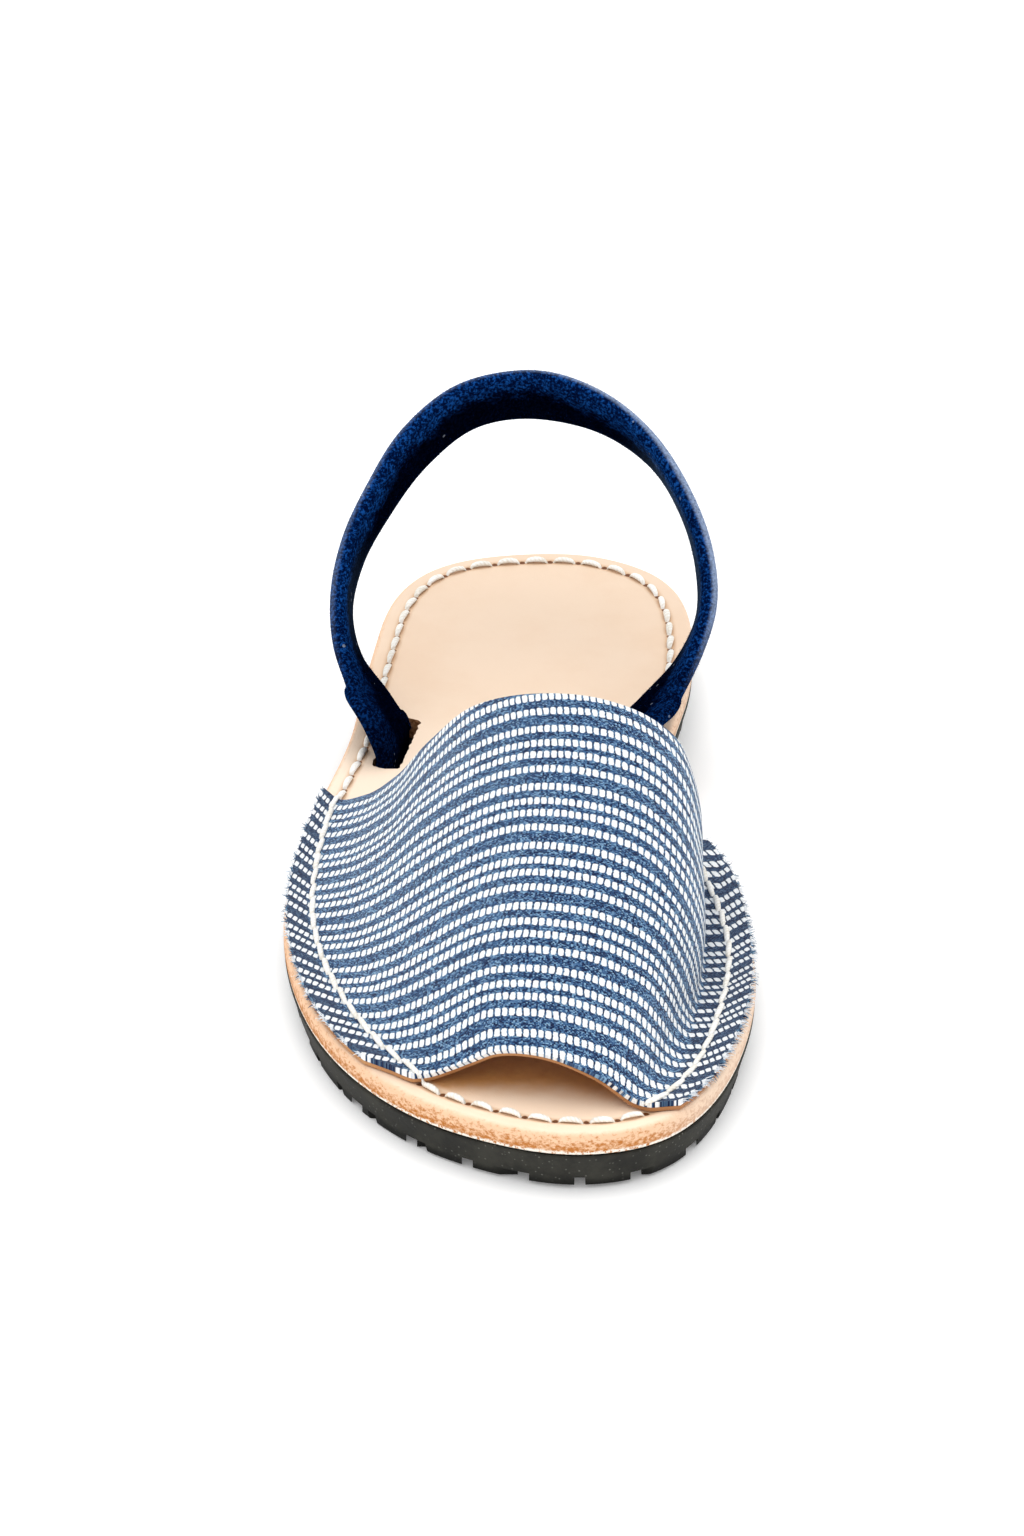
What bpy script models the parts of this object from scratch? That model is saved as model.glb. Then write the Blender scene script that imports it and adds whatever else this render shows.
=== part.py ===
import math

import bpy
import bmesh
import numpy as np

# Driving sizes in metres: a right-foot sandal, toe toward -Y, floor at Z = 0
LENGTH = 0.2500          # sole, heel back to toe tip
BALL_WIDTH = 0.0974      # widest part of the sole
RUBBER = 0.0076          # outsole under the forefoot
HEEL_RISE = 0.0012       # extra rubber under the heel
TOE_SPRING = 0.0010      # lift of the toe tip
SPRING_RUN = 0.0360      # length that lifts
SIDE_DRAFT = 0.0018      # rubber side leans in by this at the floor
LEATHER = 0.0048         # footbed thickness
EDGE_ROUND = 0.0010      # rounded top edge of the footbed
HEEL_DISH = 0.0007       # soft seat under the heel
GAP = 0.0003             # air between neighbouring pieces

GROOVE_PITCH = 0.0112    # tread blocks, both ways
GROOVE_WIDTH = 0.0022
GROOVE_DEPTH = 0.0020

WALL = 0.0020            # vamp: cloth and lining together
INSTEP_HEIGHT = 0.0456   # vamp top above the footbed at its rear edge
TOE_ARCH = 0.0107        # vamp top above the footbed at the toe opening
CROWN_FORWARD = 0.0200   # rear edge pulled toward the toe at its top
FLANGE_MARGIN = 0.0008   # footbed left bare outside the flange
CREASE_INSET = 0.0062    # stitched flange, outline to the vamp's crease

STRAP_THICK = 0.0038     # heel strap
STRAP_WIDTH = 0.0165     # at the back of the heel
STRAP_EDGE = 0.0012      # rounding of its four edges
NECK_RISE = 0.0038       # strap climbs this far before it leans back
LOOP_SPREAD = 0.0405     # half width of the loop at its widest
LOOP_REACH = 0.0810      # slots to the back, measured in the loop's plane
LOOP_SLOPE = 41.0        # degrees the loop rises from the floor
LOOP_CENTRE = 0.0023     # loop's middle in X
SLOT_LENGTH = 0.0226
SLOT_WIDTH = 0.0056

# Sole outline: side is a share of half the width (big toe side is plus),
# along is a share of half the length (heel is plus)
OUTLINE = [
    # side, along
    (0.130, 1.000), (0.385, 0.984), (0.630, 0.918), (0.758, 0.815), (0.793, 0.680),
    (0.770, 0.520), (0.700, 0.370), (0.655, 0.220), (0.690, 0.080), (0.795, -0.035),
    (0.923, -0.160), (0.985, -0.330), (1.000, -0.490), (0.945, -0.660), (0.800, -0.840),
    (0.560, -0.963), (0.220, -1.000), (-0.100, -0.964), (-0.395, -0.890), (-0.645, -0.780),
    (-0.835, -0.640), (-0.955, -0.470), (-1.000, -0.290), (-0.955, -0.075), (-0.850, 0.130),
    (-0.745, 0.320), (-0.700, 0.480), (-0.645, 0.660), (-0.600, 0.775), (-0.500, 0.883),
    (-0.270, 0.968),
]

# Where the vamp's four lines start at the toe opening and end at the rear mouth:
# along is the share of that side's run from heel to toe, inset is a share of the
# crease's inset, or nothing for the flange's outer edge
VAMP_LINES = {
    # line: (side, rear along, toe along, insets from the rear mouth to the toe opening)
    "lateral_edge": ("lateral", 0.448, 0.825, None),
    "lateral_crease": ("lateral", 0.462, 0.872, (0.74, 0.88, 1.00, 0.89, 0.73)),
    "medial_crease": ("medial", 0.549, 0.943, (0.97, 1.82, 2.10, 1.87, 0.80)),
    "medial_edge": ("medial", 0.530, 0.918, None),
}
INSET_PLACES = (0.0, 0.17, 0.50, 0.75, 1.0)    # toe opening to rear mouth

# Crown height above the flange, share of the way toe opening to rear mouth
CROWN = [
    # along, height share
    (0.00, 0.000), (0.10, 0.150), (0.22, 0.310), (0.45, 0.545), (0.70, 0.770), (1.00, 1.000),
]

# Vamp sections: across is a share from lateral to medial crease, up is a share
# of the crown height; three sections, toe opening to rear mouth
SECTIONS = [
    # toe (across, up), middle (across, up), rear (across, up)
    ((0.000, 0.000), (0.000, 0.000), (0.000, 0.000)),
    ((0.065, 0.080), (0.075, 0.080), (0.080, 0.075)),
    ((0.150, 0.310), (0.170, 0.260), (0.165, 0.250)),
    ((0.240, 0.600), (0.290, 0.530), (0.270, 0.570)),
    ((0.330, 0.880), (0.430, 0.800), (0.400, 0.860)),
    ((0.460, 1.000), (0.590, 0.980), (0.580, 0.995)),
    ((0.580, 0.950), (0.740, 0.985), (0.745, 1.010)),
    ((0.700, 0.760), (0.860, 0.870), (0.865, 0.940)),
    ((0.800, 0.520), (0.945, 0.680), (0.948, 0.810)),
    ((0.870, 0.270), (0.985, 0.430), (0.990, 0.610)),
    ((0.930, 0.060), (0.998, 0.170), (1.004, 0.340)),
    ((1.000, 0.000), (1.000, 0.000), (1.000, 0.000)),
]

# Slots: middle as shares of half the width and half the length, turn in degrees
SLOTS = {
    # side: (across, along, turn, lean of the strap's neck outward)
    "lateral": (-0.5540, 0.290, -12.0, 0.24),
    "medial": (0.4710, 0.270, -2.0, 0.08),
}

# Heel strap from a slot to the back: out is a share of the loop's spread on each
# side, back a share of its reach, wide a share of the strap's width, lean is the
# direction of its upper edge
STRAP = [
    # out lateral, out medial, back, wide, lean (outward lateral, outward medial, heelward, up)
    (0.842, 0.690, 0.135, 1.12, (0.40, 0.40, -0.78, 0.48)),
    (0.957, 0.843, 0.250, 0.98, (0.25, 0.25, -0.72, 0.65)),
    (1.000, 0.948, 0.390, 0.90, (0.12, 0.10, -0.66, 0.74)),
    (0.944, 0.938, 0.545, 0.90, (0.12, 0.00, -0.62, 0.77)),
    (0.807, 0.850, 0.695, 0.92, (0.17, -0.12, -0.58, 0.79)),
    (0.605, 0.668, 0.853, 0.94, (0.24, -0.20, -0.54, 0.82)),
    (0.325, 0.375, 0.970, 0.94, (0.17, -0.16, -0.49, 0.86)),
    (0.000, 0.000, 1.003, 0.94, (0.00, 0.00, -0.45, 0.89)),
]

ROUND_POINTS = 1600      # dense outline used for measuring


def empty_scene():
    for item in list(bpy.data.objects):
        bpy.data.objects.remove(item, do_unlink=True)


def own_collection(name):
    folder = bpy.data.collections.new(name)
    bpy.context.scene.collection.children.link(folder)
    return folder


def plain_material(name, colour, roughness):
    material = bpy.data.materials.new(name)
    material.use_nodes = True
    shader = material.node_tree.nodes["Principled BSDF"]
    shader.inputs["Base Color"].default_value = (*colour, 1.0)
    shader.inputs["Roughness"].default_value = roughness
    shader.inputs["Metallic"].default_value = 0.0
    return material


def mesh_object(name, points, faces, folder):
    mesh = bpy.data.meshes.new(name)
    mesh.from_pydata([tuple(p) for p in points], [], [tuple(f) for f in faces])
    mesh.validate()
    item = bpy.data.objects.new(name, mesh)
    folder.objects.link(item)
    return item


def tidy_normals(item):
    work = bmesh.new()
    work.from_mesh(item.data)
    bmesh.ops.remove_doubles(work, verts=work.verts, dist=0.00001)
    bmesh.ops.recalc_face_normals(work, faces=work.faces)
    work.to_mesh(item.data)
    work.free()


def bake(item):
    depsgraph = bpy.context.evaluated_depsgraph_get()
    mesh = bpy.data.meshes.new_from_object(item.evaluated_get(depsgraph))
    item.modifiers.clear()
    item.data = mesh


def smooth_by_angle(item, degrees):
    limit = math.radians(degrees)
    mesh = item.data
    for face in mesh.polygons:
        face.use_smooth = True
    work = bmesh.new()
    work.from_mesh(mesh)
    for edge in work.edges:
        if len(edge.link_faces) == 2:
            edge.smooth = edge.calc_face_angle(0.0) < limit
    work.to_mesh(mesh)
    work.free()


def smooth_step(value):
    share = np.clip(value, 0.0, 1.0)
    return share * share * (3.0 - 2.0 * share)


def closed_spline(points, count):
    """Smooth closed curve through the points; cubic pieces with matched bends."""
    points = np.asarray(points, float)
    total = len(points)
    after = np.roll(points, -1, 0)
    step = np.linalg.norm(after - points, axis=1) ** 0.5
    matrix = np.zeros((total, total))
    right = np.zeros_like(points)
    for i in range(total):
        before, ahead = step[i - 1], step[i]
        matrix[i, i - 1] += ahead
        matrix[i, i] += 2.0 * (before + ahead)
        matrix[i, (i + 1) % total] += before
        right[i] = 3.0 * (ahead * (points[i] - points[i - 1]) / before
                          + before * (after[i] - points[i]) / ahead)
    slope = np.linalg.solve(matrix, right)
    knots = np.concatenate([[0.0], np.cumsum(step)])
    wanted = np.linspace(0.0, knots[-1], count, endpoint=False)
    cell = np.clip(np.searchsorted(knots, wanted, side="right") - 1, 0, total - 1)
    s = ((wanted - knots[cell]) / step[cell])[:, None]
    m0 = slope[cell] * step[cell][:, None]
    m1 = slope[(cell + 1) % total] * step[cell][:, None]
    return ((2 * s**3 - 3 * s**2 + 1) * points[cell] + (s**3 - 2 * s**2 + s) * m0
            + (3 * s**2 - 2 * s**3) * after[cell] + (s**3 - s**2) * m1)


def open_spline(knots, values, wanted):
    """Smooth open curve: values at the knots, slopes from both neighbours."""
    knots = np.asarray(knots, float)
    values = np.asarray(values, float)
    if values.ndim == 1:
        values = values[:, None]
    width = np.diff(knots)
    chord = np.diff(values, axis=0) / width[:, None]
    slope = np.zeros_like(values)
    slope[1:-1] = ((chord[:-1] * width[1:, None] + chord[1:] * width[:-1, None])
                   / (width[1:] + width[:-1])[:, None])
    slope[0] = 1.5 * chord[0] - 0.5 * slope[1]
    slope[-1] = 1.5 * chord[-1] - 0.5 * slope[-2]
    wanted = np.asarray(wanted, float)
    cell = np.clip(np.searchsorted(knots, wanted, side="right") - 1, 0, len(width) - 1)
    s = ((wanted - knots[cell]) / width[cell])[:, None]
    m0 = slope[cell] * width[cell][:, None]
    m1 = slope[cell + 1] * width[cell][:, None]
    return ((2 * s**3 - 3 * s**2 + 1) * values[cell] + (s**3 - 2 * s**2 + s) * m0
            + (3 * s**2 - 2 * s**3) * values[cell + 1] + (s**3 - s**2) * m1)


def run_length(points):
    return np.concatenate([[0.0], np.cumsum(np.linalg.norm(np.diff(points, axis=0), axis=1))])


def at_share(points, share):
    run = run_length(points)
    wanted = np.asarray(share) * run[-1]
    return np.stack([np.interp(wanted, run, points[:, k]) for k in range(points.shape[1])], -1)


def outline_ring(inset):
    """Sole outline moved inward by inset, heel back first, big toe side next."""
    size = np.array([BALL_WIDTH / 2, LENGTH / 2])
    ring = closed_spline(np.array(OUTLINE) * size, ROUND_POINTS)
    low, high = ring.min(0), ring.max(0)
    ring = (ring - (low + high) / 2) * (2 * size / (high - low))
    along = np.roll(ring, -1, 0) - np.roll(ring, 1, 0)
    along /= np.linalg.norm(along, axis=1)[:, None]
    inward = np.stack([along[:, 1], -along[:, 0]], -1)
    if np.sum(inward * ring) > 0:
        inward = -inward
    ring = ring + inward * inset
    return np.roll(ring, -int(np.argmax(ring[:, 1])), 0)


def two_sides(inset):
    """Both sides of the outline, each from heel back to toe tip."""
    ring = outline_ring(inset)
    toe = int(np.argmin(ring[:, 1]))
    medial = ring[:toe + 1]
    lateral = np.vstack([ring[:1], ring[:toe - 1:-1]])
    return medial, lateral


def toe_lift(y):
    """Height of the sole's underside over the floor."""
    start = -LENGTH / 2 + SPRING_RUN
    share = np.clip((start - y) / SPRING_RUN, 0.0, 1.0)
    return TOE_SPRING * share**2


def rubber_top(y):
    rise = HEEL_RISE * smooth_step((y + 0.12 * LENGTH) / (0.44 * LENGTH))
    return RUBBER + rise + toe_lift(y)


def footbed_top(x, y):
    """Top of the leather, with its soft seat under the heel."""
    away = ((x / LENGTH - 0.012) / 0.104)**2 + ((y / LENGTH - 0.32) / 0.144)**2
    seat = HEEL_DISH * smooth_step(1.35 - away)
    return rubber_top(y) + GAP + LEATHER - seat


def side_rows(rows):
    """Shares along each side, closer together at heel back and toe tip."""
    t = np.linspace(0.0, 1.0, rows + 1)
    return t - 0.085 * np.sin(2 * math.pi * t)


def ring_points(inset, rows):
    medial, lateral = two_sides(inset)
    share = side_rows(rows)
    right = at_share(medial, share)
    left = at_share(lateral, share)
    return right, left


def plate(name, layers, rows, columns, top_grid, bottom_grid, folder):
    """Loft of outline rings; each layer is (inset, height function of x, y)."""
    points = []
    faces = []
    loops = []
    for inset, height in layers:
        right, left = ring_points(inset, rows)
        loop = np.vstack([right, left[-2:0:-1]])
        z = height(loop[:, 0], loop[:, 1])
        loops.append(list(range(len(points), len(points) + len(loop))))
        points.extend(np.column_stack([loop, z]).tolist())
    count = 2 * rows
    for low, high in zip(loops[:-1], loops[1:]):
        for i in range(count):
            j = (i + 1) % count
            faces.append((low[i], low[j], high[j], high[i]))

    def cap(loop, height, grid):
        if not grid:
            faces.append(tuple(loop))
            return
        rim = np.array([points[k] for k in loop])
        table = [[loop[0]] * (columns + 1)]
        for i in range(1, rows):
            a, b = rim[count - i], rim[i]
            line = [loop[count - i]]
            for c in range(1, columns):
                p = a + (b - a) * c / columns
                line.append(len(points))
                points.append([p[0], p[1], float(height(p[0], p[1]))])
            line.append(loop[i])
            table.append(line)
        table.append([loop[rows]] * (columns + 1))
        for i in range(rows):
            for c in range(columns):
                corner = [table[i][c], table[i][c + 1], table[i + 1][c + 1], table[i + 1][c]]
                clean = [k for n, k in enumerate(corner) if k != corner[n - 1]]
                if len(clean) > 2:
                    faces.append(tuple(clean))

    cap(loops[0], layers[0][1], bottom_grid)
    cap(loops[-1], layers[-1][1], top_grid)
    item = mesh_object(name, points, faces, folder)
    tidy_normals(item)
    return item


def groove_edges(reach, first):
    """Both edges of every groove between -reach and +reach."""
    middle = np.arange(first, reach, GROOVE_PITCH)
    middle = middle[middle > -reach]
    return np.sort(np.concatenate([middle - GROOVE_WIDTH / 2, middle + GROOVE_WIDTH / 2]))


def tread_cutter(folder):
    """Crossing bars as one sheet with the block cells left out, then made thick."""
    reach_x = BALL_WIDTH / 2 + 2 * GROOVE_WIDTH
    reach_y = LENGTH / 2 + 2 * GROOVE_WIDTH
    xs = groove_edges(reach_x, 0.01 * BALL_WIDTH - 5 * GROOVE_PITCH)
    ys = groove_edges(reach_y, -0.30 * LENGTH - 5 * GROOVE_PITCH)
    xs = np.concatenate([[-reach_x], xs, [reach_x]])
    ys = np.concatenate([[-reach_y], ys, [reach_y]])
    points = [(x, y, GROOVE_DEPTH) for y in ys for x in xs]
    wide = len(xs)
    faces = []
    for j in range(len(ys) - 1):
        for i in range(wide - 1):
            if i % 2 == 1 or j % 2 == 1:
                k = j * wide + i
                faces.append((k, k + 1, k + wide + 1, k + wide))
    item = mesh_object("tread_bars", points, faces, folder)
    solid = item.modifiers.new("depth", "SOLIDIFY")
    solid.thickness = 1.5 * GROOVE_DEPTH
    solid.offset = -1.0
    item.hide_render = True
    item.display_type = "WIRE"
    bake(item)
    tidy_normals(item)
    return item


def cut(item, cutter):
    step = item.modifiers.new("cut", "BOOLEAN")
    step.operation = "DIFFERENCE"
    step.solver = "EXACT"
    step.object = cutter
    bake(item)
    bpy.data.objects.remove(cutter, do_unlink=True)


def build_outsole(folder, cutters):
    flat_bottom = (SIDE_DRAFT, lambda x, y: 0.0 * y)
    flat_top = (0.0, lambda x, y: 0.0 * y + RUBBER)
    item = plate("outsole", [flat_bottom, flat_top], 46, 4, True, False, folder)
    cut(item, tread_cutter(cutters))
    for vertex in item.data.vertices:
        x, y, z = vertex.co
        share = z / RUBBER
        vertex.co.z = toe_lift(y) + share * (rubber_top(y) - toe_lift(y))
    item.data.materials.clear()
    item.data.materials.append(plain_material("rubber", (0.045, 0.046, 0.042), 0.75))
    smooth_by_angle(item, 30.0)
    return item


def slot_place(side):
    across, along, turn, neck_out = SLOTS[side]
    return across * BALL_WIDTH / 2, along * LENGTH / 2, turn, neck_out


def slot_block(side, folder):
    middle_x, middle_y, turn, _ = slot_place(side)
    angle = math.radians(turn)
    half_l, half_w = SLOT_LENGTH / 2, SLOT_WIDTH / 2
    corners = []
    for z in (RUBBER * 0.6, RUBBER + 3 * LEATHER):
        for dx, dy in ((-half_w, -half_l), (half_w, -half_l), (half_w, half_l), (-half_w, half_l)):
            x = middle_x + dx * math.cos(angle) - dy * math.sin(angle)
            y = middle_y + dx * math.sin(angle) + dy * math.cos(angle)
            corners.append((x, y, z))
    faces = [(0, 3, 2, 1), (4, 5, 6, 7), (0, 1, 5, 4), (1, 2, 6, 5), (2, 3, 7, 6), (3, 0, 4, 7)]
    item = mesh_object("slot_" + side, corners, faces, folder)
    item.hide_render = True
    item.display_type = "WIRE"
    return item


def build_footbed(folder, cutters):
    def bottom(x, y):
        return rubber_top(y) + GAP

    def edge(drop):
        return lambda x, y: rubber_top(y) + GAP + LEATHER - drop

    layers = [
        (0.0, bottom),
        (0.0, edge(EDGE_ROUND)),
        (EDGE_ROUND * 0.30, edge(EDGE_ROUND * 0.30)),
        (EDGE_ROUND, edge(0.0)),
    ]
    item = plate("footbed", layers, 46, 6, True, True, folder)
    top = footbed_top
    for vertex in item.data.vertices:
        x, y, z = vertex.co
        if z > rubber_top(y) + GAP + LEATHER - 0.00001:
            vertex.co.z = float(top(x, y))
    for side in SLOTS:
        cut(item, slot_block(side, cutters))
    item.data.materials.clear()
    item.data.materials.append(plain_material("leather", (0.86, 0.66, 0.48), 0.55))
    smooth_by_angle(item, 35.0)
    return item


def vamp_line(name, share):
    """One of the vamp's lines in plan, share 0 at the toe opening, 1 at the rear."""
    side, rear, toe, insets = VAMP_LINES[name]
    along = toe + (rear - toe) * share
    if insets is None:
        medial, lateral = two_sides(FLANGE_MARGIN)
        return at_share(medial if side == "medial" else lateral, along)
    medial, lateral = two_sides(0.0)
    base = at_share(medial if side == "medial" else lateral, along)
    inner_medial, inner_lateral = two_sides(FLANGE_MARGIN)
    inner = at_share(inner_medial if side == "medial" else inner_lateral, along)
    inward = (inner - base)
    inward /= np.linalg.norm(inward, axis=1)[:, None]
    inset = CREASE_INSET * open_spline(INSET_PLACES, insets[::-1], share)
    return base + inward * inset


def crown_height(share):
    table = np.array(CROWN)
    rise = open_spline(table[:, 0], table[:, 1], share)[:, 0]
    return TOE_ARCH + (INSTEP_HEIGHT - TOE_ARCH) * rise


def vamp_surface(across_count, along_count):
    """Outer skin of the vamp; rows run toe opening to rear mouth."""
    share = np.linspace(0.0, 1.0, along_count)
    lines = {name: vamp_line(name, share) for name in VAMP_LINES}
    height = crown_height(share)
    table = np.array(SECTIONS)
    lift = WALL + GAP
    rows = []
    for k, s in enumerate(share):
        section = open_spline([0.0, 0.5, 1.0], table.transpose(1, 0, 2).reshape(3, -1), [s])
        section = section.reshape(-1, 2)
        a, b = lines["lateral_crease"][k], lines["medial_crease"][k]
        plan = a + (b - a) * section[:, :1]
        pull = CROWN_FORWARD * s**1.3 * section[:, 1] ** 0.8 * np.where(section[:, 1] > 0, 1, 0)
        plan[:, 1] -= pull
        z = (height[k] - lift) * section[:, 1]
        arch = np.column_stack([plan, z])
        outer_a, outer_b = lines["lateral_edge"][k], lines["medial_edge"][k]
        left = np.array([[*outer_a, 0.0], [*(outer_a * 0.5 + a * 0.5), 0.0]])
        right = np.array([[*(outer_b * 0.5 + b * 0.5), 0.0], [*outer_b, 0.0]])
        guide = np.vstack([left, arch, right])
        guide[:, 2] += lift + rubber_top(guide[:, 1]) + GAP + LEATHER
        run = run_length(guide)
        knots = run / run[-1]
        row = open_spline(knots, guide, np.linspace(0.0, 1.0, across_count))
        row[:, 2] = np.maximum(row[:, 2], lift + rubber_top(row[:, 1]) + GAP + LEATHER)
        rows.append(row)
    return np.array(rows)


def build_upper(folder):
    grid = vamp_surface(41, 21)
    tall, wide = grid.shape[:2]
    faces = []
    for j in range(tall - 1):
        for i in range(wide - 1):
            k = j * wide + i
            faces.append((k, k + 1, k + wide + 1, k + wide))
    item = mesh_object("upper", grid.reshape(-1, 3), faces, folder)
    solid = item.modifiers.new("wall", "SOLIDIFY")
    solid.thickness = WALL
    solid.offset = -1.0
    solid.use_even_offset = True
    bake(item)
    tidy_normals(item)
    item.data.materials.clear()
    item.data.materials.append(plain_material("cloth", (0.16, 0.27, 0.45), 0.85))
    smooth_by_angle(item, 45.0)
    return item


def strap_path(side):
    """Middle line and upper-edge lean from the slot to the back of the heel."""
    sign = 1.0 if side == "medial" else -1.0
    slot_x, slot_y, turn, neck_out = slot_place(side)
    slope = math.radians(LOOP_SLOPE)
    ground = rubber_top(slot_y) + GAP + LEATHER
    angle = math.radians(turn)
    along_slot = (math.sin(angle), -math.cos(angle), 0.0)
    low = rubber_top(slot_y) + GAP
    neck = (slot_x + sign * 0.4 * NECK_RISE, slot_y + 0.1 * NECK_RISE, ground + NECK_RISE)
    places = [(slot_x, slot_y, low), (slot_x, slot_y, (low + ground) / 2), (slot_x, slot_y, ground + GAP), neck]
    leans = [along_slot] * 3 + [(sign * neck_out, -0.96, 0.14)]
    in_slot = SLOT_LENGTH - 2 * GAP
    wides = [in_slot] * 3 + [0.955 * in_slot]
    for out_lateral, out_medial, back, wide, lean in STRAP:
        out = out_medial if side == "medial" else out_lateral
        reach = LOOP_REACH * back
        x = LOOP_CENTRE + sign * LOOP_SPREAD * out
        y = slot_y + reach * math.cos(slope)
        z = ground + reach * math.sin(slope)
        places.append((x, y, z))
        leans.append((sign * lean[1 if side == "medial" else 0], lean[2], lean[3]))
        wides.append(STRAP_WIDTH * wide)
    return np.array(places), np.array(leans), np.array(wides)


def build_strap(folder):
    left = strap_path("lateral")
    right = strap_path("medial")
    places = np.vstack([left[0], right[0][-2::-1]])
    leans = np.vstack([left[1], right[1][-2::-1]])
    wides = np.concatenate([left[2], right[2][-2::-1]])
    run = run_length(places)
    knots = run / run[-1]
    step = np.linspace(0.0, 1.0, 49)
    step = np.sort(np.concatenate([step, knots[[1, -2]]]))
    path = open_spline(knots, places, step)
    lean = open_spline(knots, leans, step)
    wide = open_spline(knots, wides, step)[:, 0]
    tangent = np.gradient(path, axis=0)
    tangent[0] = (0.0, 0.0, 1.0)
    tangent[-1] = (0.0, 0.0, -1.0)
    tangent /= np.linalg.norm(tangent, axis=1)[:, None]
    lean -= np.sum(lean * tangent, axis=1)[:, None] * tangent
    lean /= np.linalg.norm(lean, axis=1)[:, None]
    outward = np.cross(tangent, lean)
    corner = STRAP_EDGE
    half_t = STRAP_THICK / 2
    section = []
    for cx, cy, start in ((1, 1, 0.0), (-1, 1, 90.0), (-1, -1, 180.0), (1, -1, 270.0)):
        for turn in (10.0, 80.0):
            angle = math.radians(start + turn)
            section.append((cx, cy, math.cos(angle), math.sin(angle)))
    points = []
    for k in range(len(path)):
        half_w = wide[k] / 2
        for cx, cy, across, deep in section:
            u = cx * (half_w - corner) + corner * across
            w = cy * (half_t - corner) + corner * deep
            points.append(path[k] + lean[k] * u + outward[k] * w)
    size = len(section)
    faces = []
    for k in range(len(path) - 1):
        for i in range(size):
            j = (i + 1) % size
            a, b = k * size, (k + 1) * size
            faces.append((a + i, a + j, b + j, b + i))
    faces.append(tuple(range(size)))
    faces.append(tuple(range((len(path) - 1) * size, len(path) * size)))
    item = mesh_object("heel_strap", points, faces, folder)
    tidy_normals(item)
    item.data.materials.append(plain_material("suede", (0.010, 0.030, 0.110), 0.95))
    smooth_by_angle(item, 40.0)
    return item


def build():
    empty_scene()
    cutters = own_collection("cutters")
    build_outsole(own_collection("outsole"), cutters)
    build_footbed(own_collection("footbed"), cutters)
    build_upper(own_collection("upper"))
    build_strap(own_collection("heel_strap"))


build()
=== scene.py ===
import math

import bmesh
import bpy
import numpy as np
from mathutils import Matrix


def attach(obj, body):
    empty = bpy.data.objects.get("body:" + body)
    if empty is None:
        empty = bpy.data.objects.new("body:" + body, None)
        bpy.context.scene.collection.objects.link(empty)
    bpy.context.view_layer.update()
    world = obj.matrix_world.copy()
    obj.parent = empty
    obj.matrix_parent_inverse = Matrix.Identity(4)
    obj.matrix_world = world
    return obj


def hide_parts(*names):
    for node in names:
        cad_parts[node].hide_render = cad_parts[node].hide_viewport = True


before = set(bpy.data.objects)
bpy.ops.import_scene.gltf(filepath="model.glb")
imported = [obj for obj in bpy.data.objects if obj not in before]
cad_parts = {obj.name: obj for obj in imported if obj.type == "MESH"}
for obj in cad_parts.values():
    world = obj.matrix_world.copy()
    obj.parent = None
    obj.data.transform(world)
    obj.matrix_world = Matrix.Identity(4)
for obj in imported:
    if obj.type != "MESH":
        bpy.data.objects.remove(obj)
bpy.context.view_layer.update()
mm = 0.001

# the sandal's own sizes, right foot, toe toward -Y, metres
last = {
    "length": 0.2500, "ballWidth": 0.0974, "rubber": 0.0076, "heelRise": 0.0012,
    "toeSpring": 0.0010, "springRun": 0.0360, "leather": 0.0048, "dish": 0.0007, "gap": 0.0003,
}

# outline: share of half the width (big toe side plus), share of half the length (heel plus)
soleOutline = np.array([
    (0.130, 1.000), (0.385, 0.984), (0.630, 0.918), (0.758, 0.815), (0.793, 0.680),
    (0.770, 0.520), (0.700, 0.370), (0.655, 0.220), (0.690, 0.080), (0.795, -0.035),
    (0.923, -0.160), (0.985, -0.330), (1.000, -0.490), (0.945, -0.660), (0.800, -0.840),
    (0.560, -0.963), (0.220, -1.000), (-0.100, -0.964), (-0.395, -0.890), (-0.645, -0.780),
    (-0.835, -0.640), (-0.955, -0.470), (-1.000, -0.290), (-0.955, -0.075), (-0.850, 0.130),
    (-0.745, 0.320), (-0.700, 0.480), (-0.645, 0.660), (-0.600, 0.775), (-0.500, 0.883),
    (-0.270, 0.968),
])
outlinePoints = 1600


# s*s*(3 - 2s) on a value held between 0 and 1
def smoothStep(value):
    s = np.clip(value, 0.0, 1.0)
    return s * s * (3.0 - 2.0 * s)


# vectors brought to length 1
def unit(vectors):
    return vectors / np.maximum(np.linalg.norm(vectors, axis=-1, keepdims=True), 1e-12)


# Hermite piece: ends a and b, end slopes m0 and m1, s from 0 to 1
def cubicPiece(s, a, b, m0, m1):
    return ((2 * s**3 - 3 * s**2 + 1) * a + (s**3 - 2 * s**2 + s) * m0
            + (3 * s**2 - 2 * s**3) * b + (s**3 - s**2) * m1)


# closed cubic through the points; neighbouring pieces share slope and bend
def closedSpline(points, count):
    total = len(points)
    after, before = np.roll(points, -1, 0), np.roll(points, 1, 0)
    step = np.linalg.norm(after - points, axis=1) ** 0.5
    back = np.roll(step, 1)
    here = np.arange(total)
    matrix = np.zeros((total, total))
    matrix[here, here - 1] += step
    matrix[here, here] += 2.0 * (back + step)
    matrix[here, (here + 1) % total] += back
    right = 3.0 * (step[:, None] * (points - before) / back[:, None]
                   + back[:, None] * (after - points) / step[:, None])
    slope = np.linalg.solve(matrix, right)
    knots = np.concatenate([[0.0], np.cumsum(step)])
    wanted = np.linspace(0.0, knots[-1], count, endpoint=False)
    cell = np.clip(np.searchsorted(knots, wanted, side="right") - 1, 0, total - 1)
    s = ((wanted - knots[cell]) / step[cell])[:, None]
    return cubicPiece(s, points[cell], after[cell], slope[cell] * step[cell][:, None],
                      slope[(cell + 1) % total] * step[cell][:, None])


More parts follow.
